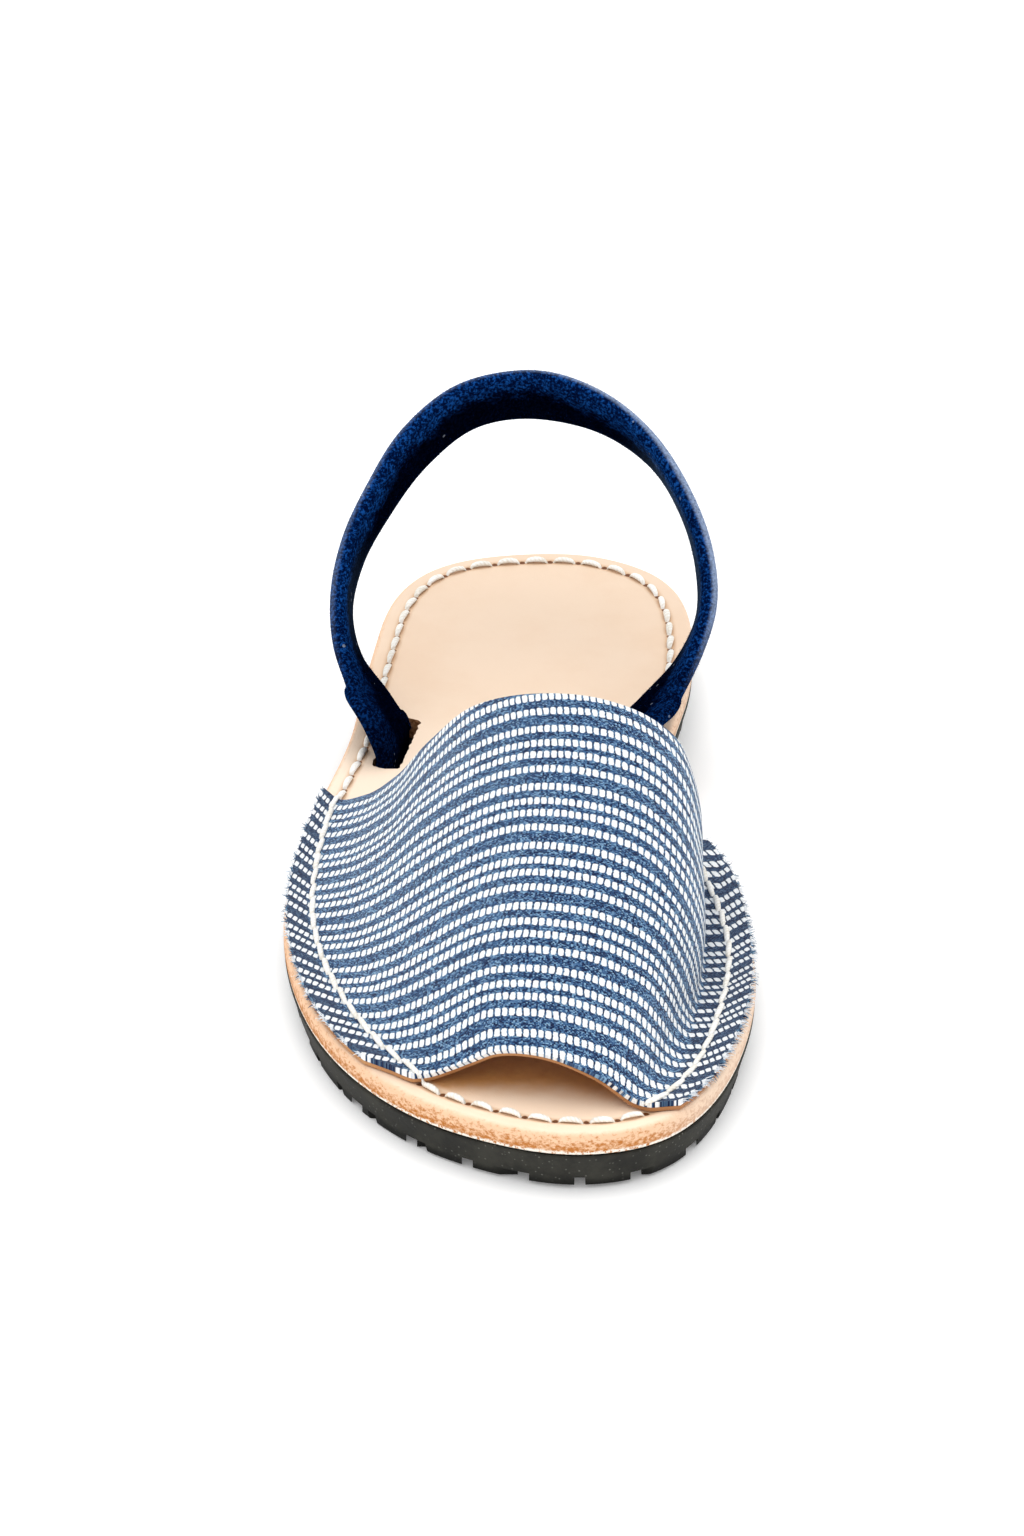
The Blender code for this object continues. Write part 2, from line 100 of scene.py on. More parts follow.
# open cubic through values at knots, each slope weighed from both neighbours
def openSpline(knots, values, wanted):
    knots, values = np.asarray(knots, float), np.asarray(values, float)
    flat = values.ndim == 1
    if flat:
        values = values[:, None]
    width = np.diff(knots)
    chord = np.diff(values, axis=0) / width[:, None]
    slope = np.zeros_like(values)
    slope[1:-1] = ((chord[:-1] * width[1:, None] + chord[1:] * width[:-1, None])
                   / (width[1:] + width[:-1])[:, None])
    slope[0] = 1.5 * chord[0] - 0.5 * slope[1]
    slope[-1] = 1.5 * chord[-1] - 0.5 * slope[-2]
    cell = np.clip(np.searchsorted(knots, wanted, side="right") - 1, 0, len(width) - 1)
    s = ((wanted - knots[cell]) / width[cell])[:, None]
    out = cubicPiece(s, values[cell], values[cell + 1], slope[cell] * width[cell][:, None],
                     slope[cell + 1] * width[cell][:, None])
    return out[:, 0] if flat else out


# distance walked along a line of points
def runLength(points):
    return np.concatenate([[0.0], np.cumsum(np.linalg.norm(np.diff(points, axis=0), axis=1))])


# points at given distances along a line
def atRun(points, run, wanted):
    return np.stack([np.interp(wanted, run, q) for q in points.T], -1)


# points at shares of a line's whole run
def atShare(points, share):
    run = runLength(points)
    return atRun(points, run, share * run[-1])


def closeLoop(points):
    return np.vstack([points, points[:1]])


# unit normals of a closed outline in plan, turned toward its inside
def inwardNormals(ring):
    along = unit(np.roll(ring, -1, 0) - np.roll(ring, 1, 0))
    inward = np.stack([along[:, 1], -along[:, 0]], -1)
    return -inward if np.sum(inward * ring) > 0 else inward


# outline moved inward by inset along its own normal, heel back first
def outlineRing(inset):
    half = np.array([last["ballWidth"], last["length"]]) / 2
    ring = closedSpline(soleOutline * half, outlinePoints)
    low, high = ring.min(0), ring.max(0)
    ring = (ring - (low + high) / 2) * (2 * half / (high - low))
    ring = ring + inwardNormals(ring) * inset
    return np.roll(ring, -int(np.argmax(ring[:, 1])), 0)


# the two sides of the outline, each from heel back to toe tip
def twoSides(inset):
    ring = outlineRing(inset)
    toe = int(np.argmin(ring[:, 1]))
    return {"medial": ring[:toe + 1], "lateral": np.vstack([ring[:1], ring[:toe - 1:-1]])}


# underside lift: toeSpring times the squared share of the lifting run
def toeLift(y):
    start = -last["length"] / 2 + last["springRun"]
    return last["toeSpring"] * np.clip((start - y) / last["springRun"], 0.0, 1.0) ** 2


# rubber plus a smooth step up under the heel, plus the toe's lift
def rubberTop(y):
    size = last["length"]
    return last["rubber"] + last["heelRise"] * smoothStep((y + 0.12 * size) / (0.44 * size)) + toeLift(y)


# leather's top without its dish: rubber, air, leather
def leatherTop(y):
    return rubberTop(y) + last["gap"] + last["leather"]


# leather's top less the soft seat under the heel
def footbedTop(x, y):
    away = ((x / last["length"] - 0.012) / 0.104)**2 + ((y / last["length"] - 0.32) / 0.144)**2
    return leatherTop(y) - last["dish"] * smoothStep(1.35 - away)


# shares along a side, closer together at heel back and toe tip
def sideShares(rows):
    t = np.linspace(0.0, 1.0, rows + 1)
    return t - 0.085 * np.sin(2 * math.pi * t)


# smooth wobble from a few sines of unlike lengths, about -1 to 1
def wobble(t, seed, waves=5):
    dice = np.random.default_rng(seed)
    length = dice.uniform(0.6, 2.6, waves)
    shift = dice.uniform(0.0, 6.28, waves)
    return np.sin(np.multiply.outer(t, length) + shift).sum(-1) / waves**0.5


# quads between neighbours of a rows x cols grid
def gridFaces(rows, cols, wrap=False, flip=False, start=0):
    i = np.arange(rows - 1)[:, None]
    j = np.arange(cols if wrap else cols - 1)[None, :]
    k = (j + 1) % cols
    quads = np.stack([i * cols + j, i * cols + k, (i + 1) * cols + k, (i + 1) * cols + j], -1)
    quads = quads.reshape(-1, 4) + start
    return quads[:, ::-1] if flip else quads


# closed sheet: two grids of equal size, front and back, joined round their rims
def shellFaces(rows, cols):
    front = gridFaces(rows, cols)
    back = gridFaces(rows, cols, flip=True, start=rows * cols)
    index = np.arange(rows * cols).reshape(rows, cols)
    rim = np.concatenate([index[0, :], index[1:, -1], index[-1, -2::-1], index[-2:0:-1, 0]])
    ahead = np.roll(rim, -1)
    side = np.stack([rim, rim + rows * cols, ahead + rows * cols, ahead], -1)
    return np.concatenate([front, back, side])


# fill of a closed ring: rows across from its left side to its right; first is the number
# of the ring's first point, start that of the first new point
def ringFill(ring, first, start, columns, flip=False):
    count = len(ring)
    rows = count // 2
    left, right = ring[:rows:-1], ring[1:rows]
    share = (np.arange(1, columns) / columns)[None, :, None]
    inner = left[:, None] + (right - left)[:, None] * share
    table = np.zeros((rows + 1, columns + 1), int)
    table[0], table[-1] = first, first + rows
    table[1:-1, -1] = first + np.arange(1, rows)
    table[1:-1, 0] = first + np.arange(count - 1, rows, -1)
    table[1:-1, 1:-1] = start + np.arange((rows - 1) * (columns - 1)).reshape(rows - 1, columns - 1)
    corners = [table[:-1, :-1], table[:-1, 1:], table[1:, 1:], table[1:, :-1]]
    if flip:
        corners = [corners[k] for k in (0, 3, 2, 1)]
    quads = np.stack(corners, -1).reshape(-1, 4).tolist()
    return inner.reshape(-1, 3), [[k for n, k in enumerate(q) if k != q[n - 1]] for q in quads]


# tubes: each ring is its middle plus cos(turn) * wide * side plus sin(turn) * high * up
def tubeRings(middle, side, up, wide, high, sides):
    turn = np.linspace(0.0, 2 * math.pi, sides, endpoint=False)
    across = (wide[..., None] * np.cos(turn))[..., None] * side[..., None, :]
    return middle[..., None, :] + across + (high[..., None] * np.sin(turn))[..., None] * up[..., None, :]


# walls and two end caps of count tubes, each of stations rings
def tubeFaces(count, stations, sides):
    per = stations * sides
    start = np.arange(count)[:, None] * per
    walls = (gridFaces(stations, sides, wrap=True)[None] + start[..., None]).reshape(-1, 4)
    caps = np.concatenate([start + np.arange(sides), start + per - 1 - np.arange(sides)])
    return walls.tolist() + caps.tolist()


# unit normals of a grid of points, from the cross of its two slopes
def gridNormals(grid):
    n = unit(np.cross(np.gradient(grid, axis=1), np.gradient(grid, axis=0)))
    return -n if n[..., 2].mean() < 0 else n


def makeMesh(name, points, faces):
    mesh = bpy.data.meshes.new(name)
    points = np.asarray(points, np.float32).reshape(-1, 3)
    mesh.from_pydata(points, [], faces.tolist() if isinstance(faces, np.ndarray) else faces)
    mesh.shade_smooth()
    item = bpy.data.objects.new(name, mesh)
    bpy.context.scene.collection.objects.link(item)
    return item


# one uv per vertex spread to the face corners; wrapAt closes a round strip
def setUv(item, name, uv, wrapAt=None):
    mesh = item.data
    corner = np.empty(len(mesh.loops), np.int32)
    mesh.loops.foreach_get("vertex_index", corner)
    values = np.asarray(uv, np.float32)[corner].copy()
    if wrapAt:
        start = np.empty(len(mesh.polygons), np.int32)
        mesh.polygons.foreach_get("loop_start", start)
        count = np.diff(np.append(start, len(corner)))
        most = np.repeat(np.maximum.reduceat(values[:, 0], start), count)
        values[:, 0] += np.where(values[:, 0] < most - wrapAt / 2, wrapAt, 0.0)
    layer = mesh.uv_layers.get(name) or mesh.uv_layers.new(name=name)
    layer.data.foreach_set("uv", values.ravel())


def setValue(item, name, values):
    layer = item.data.attributes.new(name, "FLOAT", "POINT")
    layer.data.foreach_set("value", np.asarray(values, np.float32).ravel())


# doubles merged, faces turned outward, edges above the sharp angle kept hard
def cleanMesh(item, merge, sharp=None):
    work = bmesh.new()
    work.from_mesh(item.data)
    bmesh.ops.remove_doubles(work, verts=work.verts, dist=merge)
    bmesh.ops.recalc_face_normals(work, faces=work.faces)
    work.to_mesh(item.data)
    work.free()
    if sharp:
        hardEdges(item, sharp)


def hardEdges(item, sharp):
    item.data.shade_smooth()
    item.data.set_sharp_from_angle(angle=math.radians(sharp))


def applyAll(item):
    graph = bpy.context.evaluated_depsgraph_get()
    mesh = bpy.data.meshes.new_from_object(item.evaluated_get(graph))
    item.modifiers.clear()
    item.data = mesh


def cutWith(item, cutter):
    step = item.modifiers.new("cut", "BOOLEAN")
    step.operation = "DIFFERENCE"
    step.solver = "EXACT"
    step.object = cutter
    applyAll(item)
    bpy.data.objects.remove(cutter, do_unlink=True)


def finishPiece(item, material, nodeName=None):
    item.data.materials.clear()
    item.data.materials.append(material)
    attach(item, "root")
    if nodeName:
        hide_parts(nodeName)


# a socket that takes part in sums: each sign makes one math node
class Wire:
    def __init__(self, tree, socket):
        self.tree, self.socket = tree, socket

    def __add__(self, other):
        return self.tree.math("ADD", self, other)

    def __sub__(self, other):
        return self.tree.math("SUBTRACT", self, other)

    def __rsub__(self, other):
        return self.tree.math("SUBTRACT", other, self)

    def __mul__(self, other):
        return self.tree.math("MULTIPLY", self, other)

    def __truediv__(self, other):
        return self.tree.math("DIVIDE", self, other)

    def __pow__(self, other):
        return self.tree.math("POWER", self, other)

    def __abs__(self):
        return self.tree.math("ABSOLUTE", self)


# shader node helpers: each returns a wire from the node that it makes
class Tree:
    def __init__(self, tree):
        self.tree = tree

    def node(self, kind, **settings):
        item = self.tree.nodes.new(kind)
        for key, value in settings.items():
            setattr(item, key, value)
        return item

    def feed(self, socket, value):
        if isinstance(value, Wire):
            self.tree.links.new(value.socket, socket)
        else:
            socket.default_value = value

    # a node fed by socket name or number, and the output asked for
    def fed(self, kind, given, output=0, **settings):
        item = self.node(kind, **settings)
        for key, value in given.items():
            if value is not None:
                self.feed(item.inputs[key], value)
        return Wire(self, item.outputs[output])

    def math(self, operation, a, b=None):
        return self.fed("ShaderNodeMath", {0: a, 1: b}, operation=operation)

    def vector(self, operation, a, b=None, scale=None):
        return self.fed("ShaderNodeVectorMath", {0: a, 1: b, "Scale": scale}, operation=operation)

    def spread(self, value, low, high, outLow=0.0, outHigh=1.0, kind="SMOOTHSTEP"):
        given = {"Value": value, "From Min": low, "From Max": high, "To Min": outLow, "To Max": outHigh}
        return self.fed("ShaderNodeMapRange", given, "Result", interpolation_type=kind)

    def noise(self, where, scale, detail=3.0, rough=0.55, output="Fac"):
        given = {"Vector": where, "Scale": scale, "Detail": detail, "Roughness": rough}
        return self.fed("ShaderNodeTexNoise", given, output)

    def cells(self, where, scale, output="Distance"):
        return self.fed("ShaderNodeTexVoronoi", {"Vector": where, "Scale": scale}, output)

    def mix(self, amount, a, b, blend="MIX"):
        a, b = ((*q, 1.0) if isinstance(q, tuple) else q for q in (a, b))
        return self.fed("ShaderNodeMix", {0: amount, 6: a, 7: b}, 2, data_type="RGBA", blend_type=blend)

    def objectPlace(self):
        return self.fed("ShaderNodeTexCoord", {}, "Object")

    def uvPlace(self, name):
        return self.fed("ShaderNodeUVMap", {}, "UV", uv_map=name)

    def value(self, name):
        return self.fed("ShaderNodeAttribute", {}, "Fac", attribute_name=name)

    def split(self, vector):
        item = self.node("ShaderNodeSeparateXYZ")
        self.feed(item.inputs[0], vector)
        return [Wire(self, q) for q in item.outputs]

    def join(self, x, y, z=0.0):
        return self.fed("ShaderNodeCombineXYZ", {0: x, 1: y, 2: z})

    # a place pushed about by up to half of amount each way
    def drift(self, where, scale, detail, amount):
        wave = self.noise(where, scale, detail, 0.5, "Color")
        return self.vector("SCALE", self.vector("SUBTRACT", wave, (0.5, 0.5, 0.5)), scale=amount)

    def group(self, tree, **given):
        item = self.node("ShaderNodeGroup")
        item.node_tree = tree
        for key, value in given.items():
            self.feed(item.inputs[key], value)
        return {q.name: Wire(self, q) for q in item.outputs}

    # colour, roughness and a bump of that depth on the shader; gives back the material
    def paint(self, colour, rough, height=None, depth=0.0, strength=1.0):
        self.feed(self.shader.inputs["Base Color"], colour)
        self.feed(self.shader.inputs["Roughness"], rough)
        if height is not None:
            given = {"Height": height, "Distance": depth, "Strength": strength}
            self.feed(self.shader.inputs["Normal"], self.fed("ShaderNodeBump", given, "Normal"))
        return self.material


def newMaterial(name, **fixed):
    material = bpy.data.materials.new(name)
    material.use_nodes = True
    b = Tree(material.node_tree)
    b.material, b.shader = material, material.node_tree.nodes["Principled BSDF"]
    for key, value in fixed.items():
        b.shader.inputs[key.replace("_", " ")].default_value = value
    return b


# a node group: inputs are label and start value, None for a place; outputs are numbers
def newGroup(name, inputs, outputs):
    tree = bpy.data.node_groups.new(name, "ShaderNodeTree")
    for label, start in inputs.items():
        kind = "NodeSocketVector" if start is None else "NodeSocketFloat"
        socket = tree.interface.new_socket(label, in_out="INPUT", socket_type=kind)
        if start is not None:
            socket.default_value = start
    for label in outputs:
        tree.interface.new_socket(label, in_out="OUTPUT", socket_type="NodeSocketFloat")
    b = Tree(tree)
    given = b.node("NodeGroupInput").outputs
    return b, {label: Wire(b, given[label]) for label in inputs}, b.node("NodeGroupOutput").inputs


# pores and fine creases of leather, for the footbed and the lining
def grainGroup():
    b, given, out = newGroup("leatherGrain", {"Place": None, "PoreScale": 900.0, "MottleScale": 45.0},
                             ["Height", "Mottle"])
    place, poreScale = given["Place"], given["PoreScale"]
    bent = b.vector("SCALE", b.noise(place, 160.0, output="Color"), scale=0.004)
    bent = b.vector("ADD", place, bent)
    pores = b.spread(b.cells(bent, poreScale), 0.05, 0.32)
    folds = b.noise(bent, poreScale * 0.42, 4.0, 0.6)
    b.feed(out["Height"], pores * 0.45 + folds * 0.55)
    b.feed(out["Mottle"], b.noise(place, given["MottleScale"], 5.0, 0.6))
    return b.tree


# scattered light specks and lint, for rubber and suede
def speckGroup():
    b, given, out = newGroup("lightSpecks", {"Place": None, "Scale": 900.0, "Amount": 0.3}, ["Mask"])
    place, scale = given["Place"], given["Scale"]
    chance = b.split(b.cells(place, scale, "Color"))[0]
    reach = b.math("GREATER_THAN", given["Amount"], chance) * 0.32
    near = b.math("LESS_THAN", b.cells(place, scale), reach)
    b.feed(out["Mask"], near * b.noise(place, scale * 0.3, 1.0))
    return b.tree


leatherGrain = grainGroup()
lightSpecks = speckGroup()
print("frame loaded, shared groups built")

# the stitched line runs inside the outline: (share heel to toe, inset in mm) on each side
seam = {
    "medial": [(0.0, 5.2), (0.15, 5.2), (0.35, 4.6), (0.50, 5.2), (0.57, 6.6), (0.60, 6.8), (0.63, 6.1),
               (0.67, 5.5), (0.75, 5.8), (0.80, 5.7), (0.84, 5.3), (0.88, 4.9), (0.93, 4.5), (0.97, 4.9),
               (1.0, 5.4)],
    "lateral": [(0.0, 5.2), (0.15, 4.7), (0.35, 4.5), (0.46, 4.4), (0.56, 5.6), (0.70, 6.4),
                (0.77, 6.6), (0.83, 5.6), (0.88, 4.8), (0.94, 5.1), (1.0, 5.5)],
    "pitch": 6.25 * mm, "rows": 420,
}


# outline points, inward normals and stitch inset, heel back round to heel back
def outlineFrame(rows):
    share = sideShares(rows)
    sides = twoSides(0.0)
    medial, lateral = (atShare(sides[q], share) for q in ("medial", "lateral"))
    rim = np.vstack([medial, lateral[-2:0:-1]])
    medial, lateral = (openSpline(*np.array(seam[q]).T, share) * mm for q in ("medial", "lateral"))
    return rim, inwardNormals(rim), np.concatenate([medial, lateral[-2:0:-1]])


seamRim, seamInward, seamInset = outlineFrame(seam["rows"])
seamLine = closeLoop(seamRim + seamInward * seamInset[:, None])
seamRun = runLength(seamLine)
stitchCount = int(round(seamRun[-1] / seam["pitch"]))
print("seam", round(seamRun[-1], 4), "m,", stitchCount, "stitches")

# slots: across and along as shares of half the sole, turn in degrees, lean of the strap's neck
footbedPiece = {
    "rows": 170, "columns": 14, "slotLength": 22.6 * mm, "slotWidth": 6.2 * mm, "slotRough": 0.16 * mm,
    "slots": {"lateral": (-0.538, 0.290, -12.0, 0.17), "medial": (0.455, 0.270, -2.0, 0.08)},
    # under and underLight are the two tones of the painted shade far under the vamp; hole is painted shade
    # in the needle holes
    "top": (0.760, 0.598, 0.462), "shade": (0.700, 0.510, 0.366), "under": (0.470, 0.200, 0.042),
    "underLight": (0.70, 0.36, 0.105), "edge": (0.500, 0.190, 0.042), "edgeLight": (0.850, 0.570, 0.380),
    "fibre": (0.95, 0.90, 0.82), "pale": (0.830, 0.740, 0.640), "wall": (0.26, 0.105, 0.040),
    "wallLight": (0.62, 0.36, 0.20), "threadShadow": (0.56, 0.33, 0.17), "hole": (0.16, 0.055, 0.014),
    "edgeRings": 8, "noSeam": 40.0,
}


# rings of the plate from its bottom edge up the side, over the rounded edge and in
# past the stitches: each is (fixed inset, share of stitch inset, extra inset, drop) in mm
def footbedRings():
    thick = last["leather"] / mm
    side = [(0.45, 0, 0, thick), (0.12, 0, 0, thick - 0.35), (0.0, 0, 0, thick - 1.1),
            (0.0, 0, 0, 1.9), (0.12, 0, 0, 1.20), (0.34, 0, 0, 0.68), (0.70, 0, 0, 0.30),
            (1.15, 0, 0, 0.09), (1.8, 0, 0, 0.0)]
    groove = [(0, 1, -1.6, 0.0), (0, 1, -0.9, 0.03), (0, 1, -0.4, 0.11), (0, 1, 0.0, 0.16),
              (0, 1, 0.4, 0.11), (0, 1, 0.9, 0.03), (0, 1, 1.7, 0.0), (0, 1, 4.5, 0.0)]
    return np.array(side + groove)


# leather plate: the rings carried round the outline, filled above and below, slots cut out;
# uv "seam" is (stitch number, mm from the stitched line), "rim" is (stitch number, mm up the side)
def buildFootbed():
    rows, columns = footbedPiece["rows"], footbedPiece["columns"]
    rim, inward, inset = outlineFrame(rows)
    count = 2 * rows
    run = runLength(closeLoop(rim + inward * inset[:, None]))
    turn = run[:-1] / run[-1] * stitchCount
    fixed, share, extra, drop = footbedRings().T[..., None]
    drop = drop * mm
    move = fixed * mm + share * (inset + extra * mm)
    plan = rim + inward * move[..., None]
    rings = np.concatenate([plan, (leatherTop(plan[..., 1]) - drop)[..., None]], -1)
    step = np.hypot(np.diff(move, axis=0, prepend=move[:1]), np.diff(drop, axis=0, prepend=drop[:1]))
    turns = np.broadcast_to(turn, move.shape)
    seamUv = np.stack([turns, (move - inset) / mm], -1).reshape(-1, 2)
    rimUv = np.stack([turns, np.cumsum(step, 0) / mm], -1).reshape(-1, 2)
    flat = rings.reshape(-1, 3)
    above, aboveFaces = ringFill(rings[-1], len(flat) - count, len(flat), columns)
    below, belowFaces = ringFill(rings[0], 0, len(flat) + len(above), columns, flip=True)
    faces = gridFaces(len(rings), count, wrap=True).tolist() + aboveFaces + belowFaces
    points = np.vstack([flat, above, below])
    onTop = np.arange(len(points)) >= footbedPiece["edgeRings"] * count
    onTop[len(flat) + len(above):] = False
    dropped = points[:, 2] - leatherTop(points[:, 1])
    points[onTop, 2] = footbedTop(*points[onTop, :2].T) + np.minimum(dropped[onTop], 0.0)
    item = makeMesh("footbedLeather", points, faces)
    cleanMesh(item, 1e-7)
    away = np.full((len(above) + len(below), 2), footbedPiece["noSeam"])
    away[:, 0] = np.tile(np.repeat(turn[1:rows], columns - 1), 2)
    setUv(item, "seam", np.vstack([seamUv, away]), stitchCount)
    away[len(above):, 1] *= -1
    setUv(item, "rim", np.vstack([rimUv, away]), stitchCount)
    for side in footbedPiece["slots"]:
        cutWith(item, slotCutter(side))
    hardEdges(item, 50)
    return item


# slot cutter: an upright block whose long walls wander a little, as a knife cut does
def slotCutter(side):
    across, along, turn, _ = footbedPiece["slots"][side]
    x0, y0, angle = across * last["ballWidth"] / 2, along * last["length"] / 2, math.radians(turn)
    t = np.linspace(-1.0, 1.0, 40)
    halfLength, halfWidth = footbedPiece["slotLength"] / 2, footbedPiece["slotWidth"] / 2
    rough = footbedPiece["slotRough"]
    ends = (1.0 - np.abs(t) ** 24) ** 0.5
    a = np.column_stack([-halfWidth * ends + rough * ends * wobble(t * 14, 3), t * halfLength])
    b = np.column_stack([halfWidth * ends + rough * ends * wobble(t * 14, 9), t * halfLength])
    ring = np.vstack([a, b[-2:0:-1]])
    turned = np.column_stack([x0 + ring[:, 0] * math.cos(angle) - ring[:, 1] * math.sin(angle),
                              y0 + ring[:, 0] * math.sin(angle) + ring[:, 1] * math.cos(angle)])
    size = len(turned)
    base = np.column_stack([turned, np.full(size, last["rubber"] * 0.6)])
    roof = np.column_stack([turned, np.full(size, last["rubber"] + 3 * last["leather"])])
    faces = gridFaces(2, size, wrap=True).tolist() + [list(range(size)), list(range(size, 2 * size))]
    item = makeMesh("slotBlock_" + side, np.vstack([base, roof]), faces)
    cleanMesh(item, 1e-6)
    for layer in ("seam", "rim"):
        setUv(item, layer, np.full((len(item.data.vertices), 2), footbedPiece["noSeam"] + 0.25))
    return item


def footbedMaterial():
    b = newMaterial("paleLeather", Specular_IOR_Level=0.38)
    place = b.objectPlace()
    x, y, _ = b.split(place)
    grain = b.group(leatherGrain, Place=place, PoreScale=1150.0, MottleScale=38.0)
    seamX, seamY, _ = b.split(b.uvPlace("seam"))
    rimY = b.split(b.uvPlace("rim"))[1]
    fine = b.noise(place, 700.0, 4.0, 0.65)
    tone = footbedPiece
    # top: a little deeper where the hide is uneven, paler under the instep, and painted shade in warm
    # browns far under the vamp, where little light reaches
    top = b.mix(b.spread(grain["Mottle"], 0.40, 0.72) * 0.35, tone["top"], tone["shade"])
    deep = y + b.math("MAXIMUM", x - 8 * mm, 0.0) * 0.35 + (b.noise(place, 120.0, 3.0) - 0.5) * (5 * mm)
    underVampShade = b.spread(deep, -110.5 * mm, -101 * mm) * b.spread(deep, -52 * mm, -30 * mm, 1.0, 0.0)
    underVampShade = underVampShade * b.spread(seamY, 0.5, 3.0)
    dark = b.mix(b.noise(place, 300.0, 5.0, 0.7), tone["under"], tone["underLight"])
    bare = b.spread(y, 20 * mm, 60 * mm, 0.38, 0.0) * b.spread(y, -90 * mm, -50 * mm)
    top = b.mix(bare, top, tone["pale"])
    top = b.mix(underVampShade * 0.95, top, dark)
    # painted light: the leather ahead of the heel's back drawn brighter, the toe brighter still
    paintedLight = b.spread(y, 60 * mm, 105 * mm, 1.14, 1.0) + b.spread(y, -118 * mm, -100 * mm, 0.10, 0.0)
    top = b.mix(1.0, top, b.join(paintedLight, paintedLight, paintedLight), "MULTIPLY")
    # cut edge: from the rounded corner down the side, pale above and brown toward the rubber,
    # the two tones meeting in ragged strokes, white fibres along the foot
    cutEdge = b.spread(rimY + (fine - 0.5) * 1.1, 4.2, 5.8, 1.0, 0.0)
    streak = b.noise(b.vector("MULTIPLY", place, (1.0, 1.0, 1.6)), 850.0, 4.0, 0.75)
    depth = b.spread(rimY, 0.3, 4.2, kind="LINEAR") + (streak - 0.5) * 3.6
    brown = b.mix(b.spread(depth, 0.05, 1.0), tone["edge"], tone["edgeLight"])
    fibre = b.spread(rimY + streak * -1.2, 0.1, 0.8, 1.0, 0.0)
    fibre = fibre * b.spread(b.noise(place, 1300.0, 3.0, 0.7), 0.38, 0.50)
    brown = b.mix(b.spread(x, 24 * mm, 40 * mm, 0.0, 0.5), brown, tone["pale"])
    brown = b.mix(fibre, brown, tone["fibre"])
    colour = b.mix(cutEdge, top, brown)
    # slot walls are raw leather too
    facing = b.split(b.fed("ShaderNodeNewGeometry", {}, "True Normal"))[2]
    wall = b.spread(abs(facing), 0.25, 0.6, 1.0, 0.0) * b.spread(seamY, 2.0, 3.0)
    rawWall = b.mix(b.spread(b.noise(place, 900.0, 4.0, 0.7), 0.3, 0.7), tone["wall"], tone["wallLight"])
    colour = b.mix(wall, colour, rawWall)
    # needle holes at every stitch end, painted dark as the shade inside them, and painted shade along the
    # thread between them
    toHole = (b.math("FRACT", seamX + 0.5) - 0.5) * (seam["pitch"] / mm)
    away = b.math("SQRT", abs(toHole) ** 2.0 + abs(seamY) ** 2.0) + (fine - 0.5) * 0.5
    hole = b.spread(away, 0.45, 0.85, 1.0, 0.0)
    colour = b.mix(b.spread(abs(seamY), 0.5, 1.7, 0.55, 0.0), colour, tone["threadShadow"])
    colour = b.mix(hole, colour, tone["hole"])
    rough = b.spread(grain["Mottle"], 0.3, 0.7, 0.44, 0.58) + cutEdge * 0.3
    height = grain["Height"] * (1.0 - cutEdge * 0.6) + b.noise(place, 560.0, 6.0, 0.8) * cutEdge * 7.0
    return b.paint(colour, rough, height - hole * 3.0, 0.10 * mm, 0.55)


finishPiece(buildFootbed(), footbedMaterial(), "footbed")
print("footbed done")

outsolePiece = {
    "rows": 150, "groovePitch": 11.2 * mm, "grooveWidth": 2.2 * mm, "grooveDepth": 2.0 * mm,
    "dark": (0.018, 0.018, 0.015), "light": (0.050, 0.049, 0.041), "speck": (0.30, 0.30, 0.27),
    # foot is the painted shade at the rubber's lowest part
    "foot": (0.005, 0.005, 0.004),
}


# crossing bars: every cell between groove edges that is not a block, made thick
def treadBars():
    pitch, width, depth = (outsolePiece[k] for k in ("groovePitch", "grooveWidth", "grooveDepth"))

    def edges(reach, first):
        middle = np.arange(first, reach, pitch)
        middle = middle[middle > -reach]
        inner = np.sort(np.concatenate([middle - width / 2, middle + width / 2]))
        return np.concatenate([[-reach], inner, [reach]])

    xs = edges(last["ballWidth"] / 2 + 2 * width, 0.01 * last["ballWidth"] - 5 * pitch)
    ys = edges(last["length"] / 2 + 2 * width, -0.30 * last["length"] - 5 * pitch)
    gx, gy = np.meshgrid(xs, ys)
    points = np.stack([gx, gy, np.full_like(gx, depth)], -1)
    faces = gridFaces(len(ys), len(xs))
    j, i = np.divmod(np.arange(len(faces)), len(xs) - 1)
    item = makeMesh("treadBars", points, faces[(i % 2 == 1) | (j % 2 == 1)])
    wall = item.modifiers.new("depth", "SOLIDIFY")
    wall.thickness = 1.5 * depth
    wall.offset = -1.0
    applyAll(item)
    cleanMesh(item, 1e-5)
    return item


# rubber plate: side rings leaning inward toward the floor, filled above, one flat face below;
# after the grooves are cut its height is stretched between the toe's lift and the rubber's top
def buildOutsole():
    rim, inward, _ = outlineFrame(outsolePiece["rows"])
    count, thick = len(rim), last["rubber"]
    profile = [(2.15, 0.0), (1.88, 0.12), (1.76, 0.45), (1.45, 2.2), (0.80, 4.9), (0.15, 6.8),
               (0.10, 7.35), (0.35, thick / mm)]
    rings = [np.column_stack([rim + inward * inset * mm, np.full(count, z * mm)]) for inset, z in profile]
    faces = gridFaces(len(rings), count, wrap=True).tolist() + [list(range(count))]
    faces += ringFill(rings[-1], (len(rings) - 1) * count, len(rings) * count, 1)[1]
    item = makeMesh("rubberOutsole", np.vstack(rings), faces)
    cleanMesh(item, 1e-7)
    cutWith(item, treadBars())
    mesh = item.data
    co = np.empty(len(mesh.vertices) * 3, np.float32)
    mesh.vertices.foreach_get("co", co)
    co = co.reshape(-1, 3)
    lift = toeLift(co[:, 1])
    co[:, 2] = lift + co[:, 2] / thick * (rubberTop(co[:, 1]) - lift)
    mesh.vertices.foreach_set("co", co.ravel())
    hardEdges(item, 35)
    return item


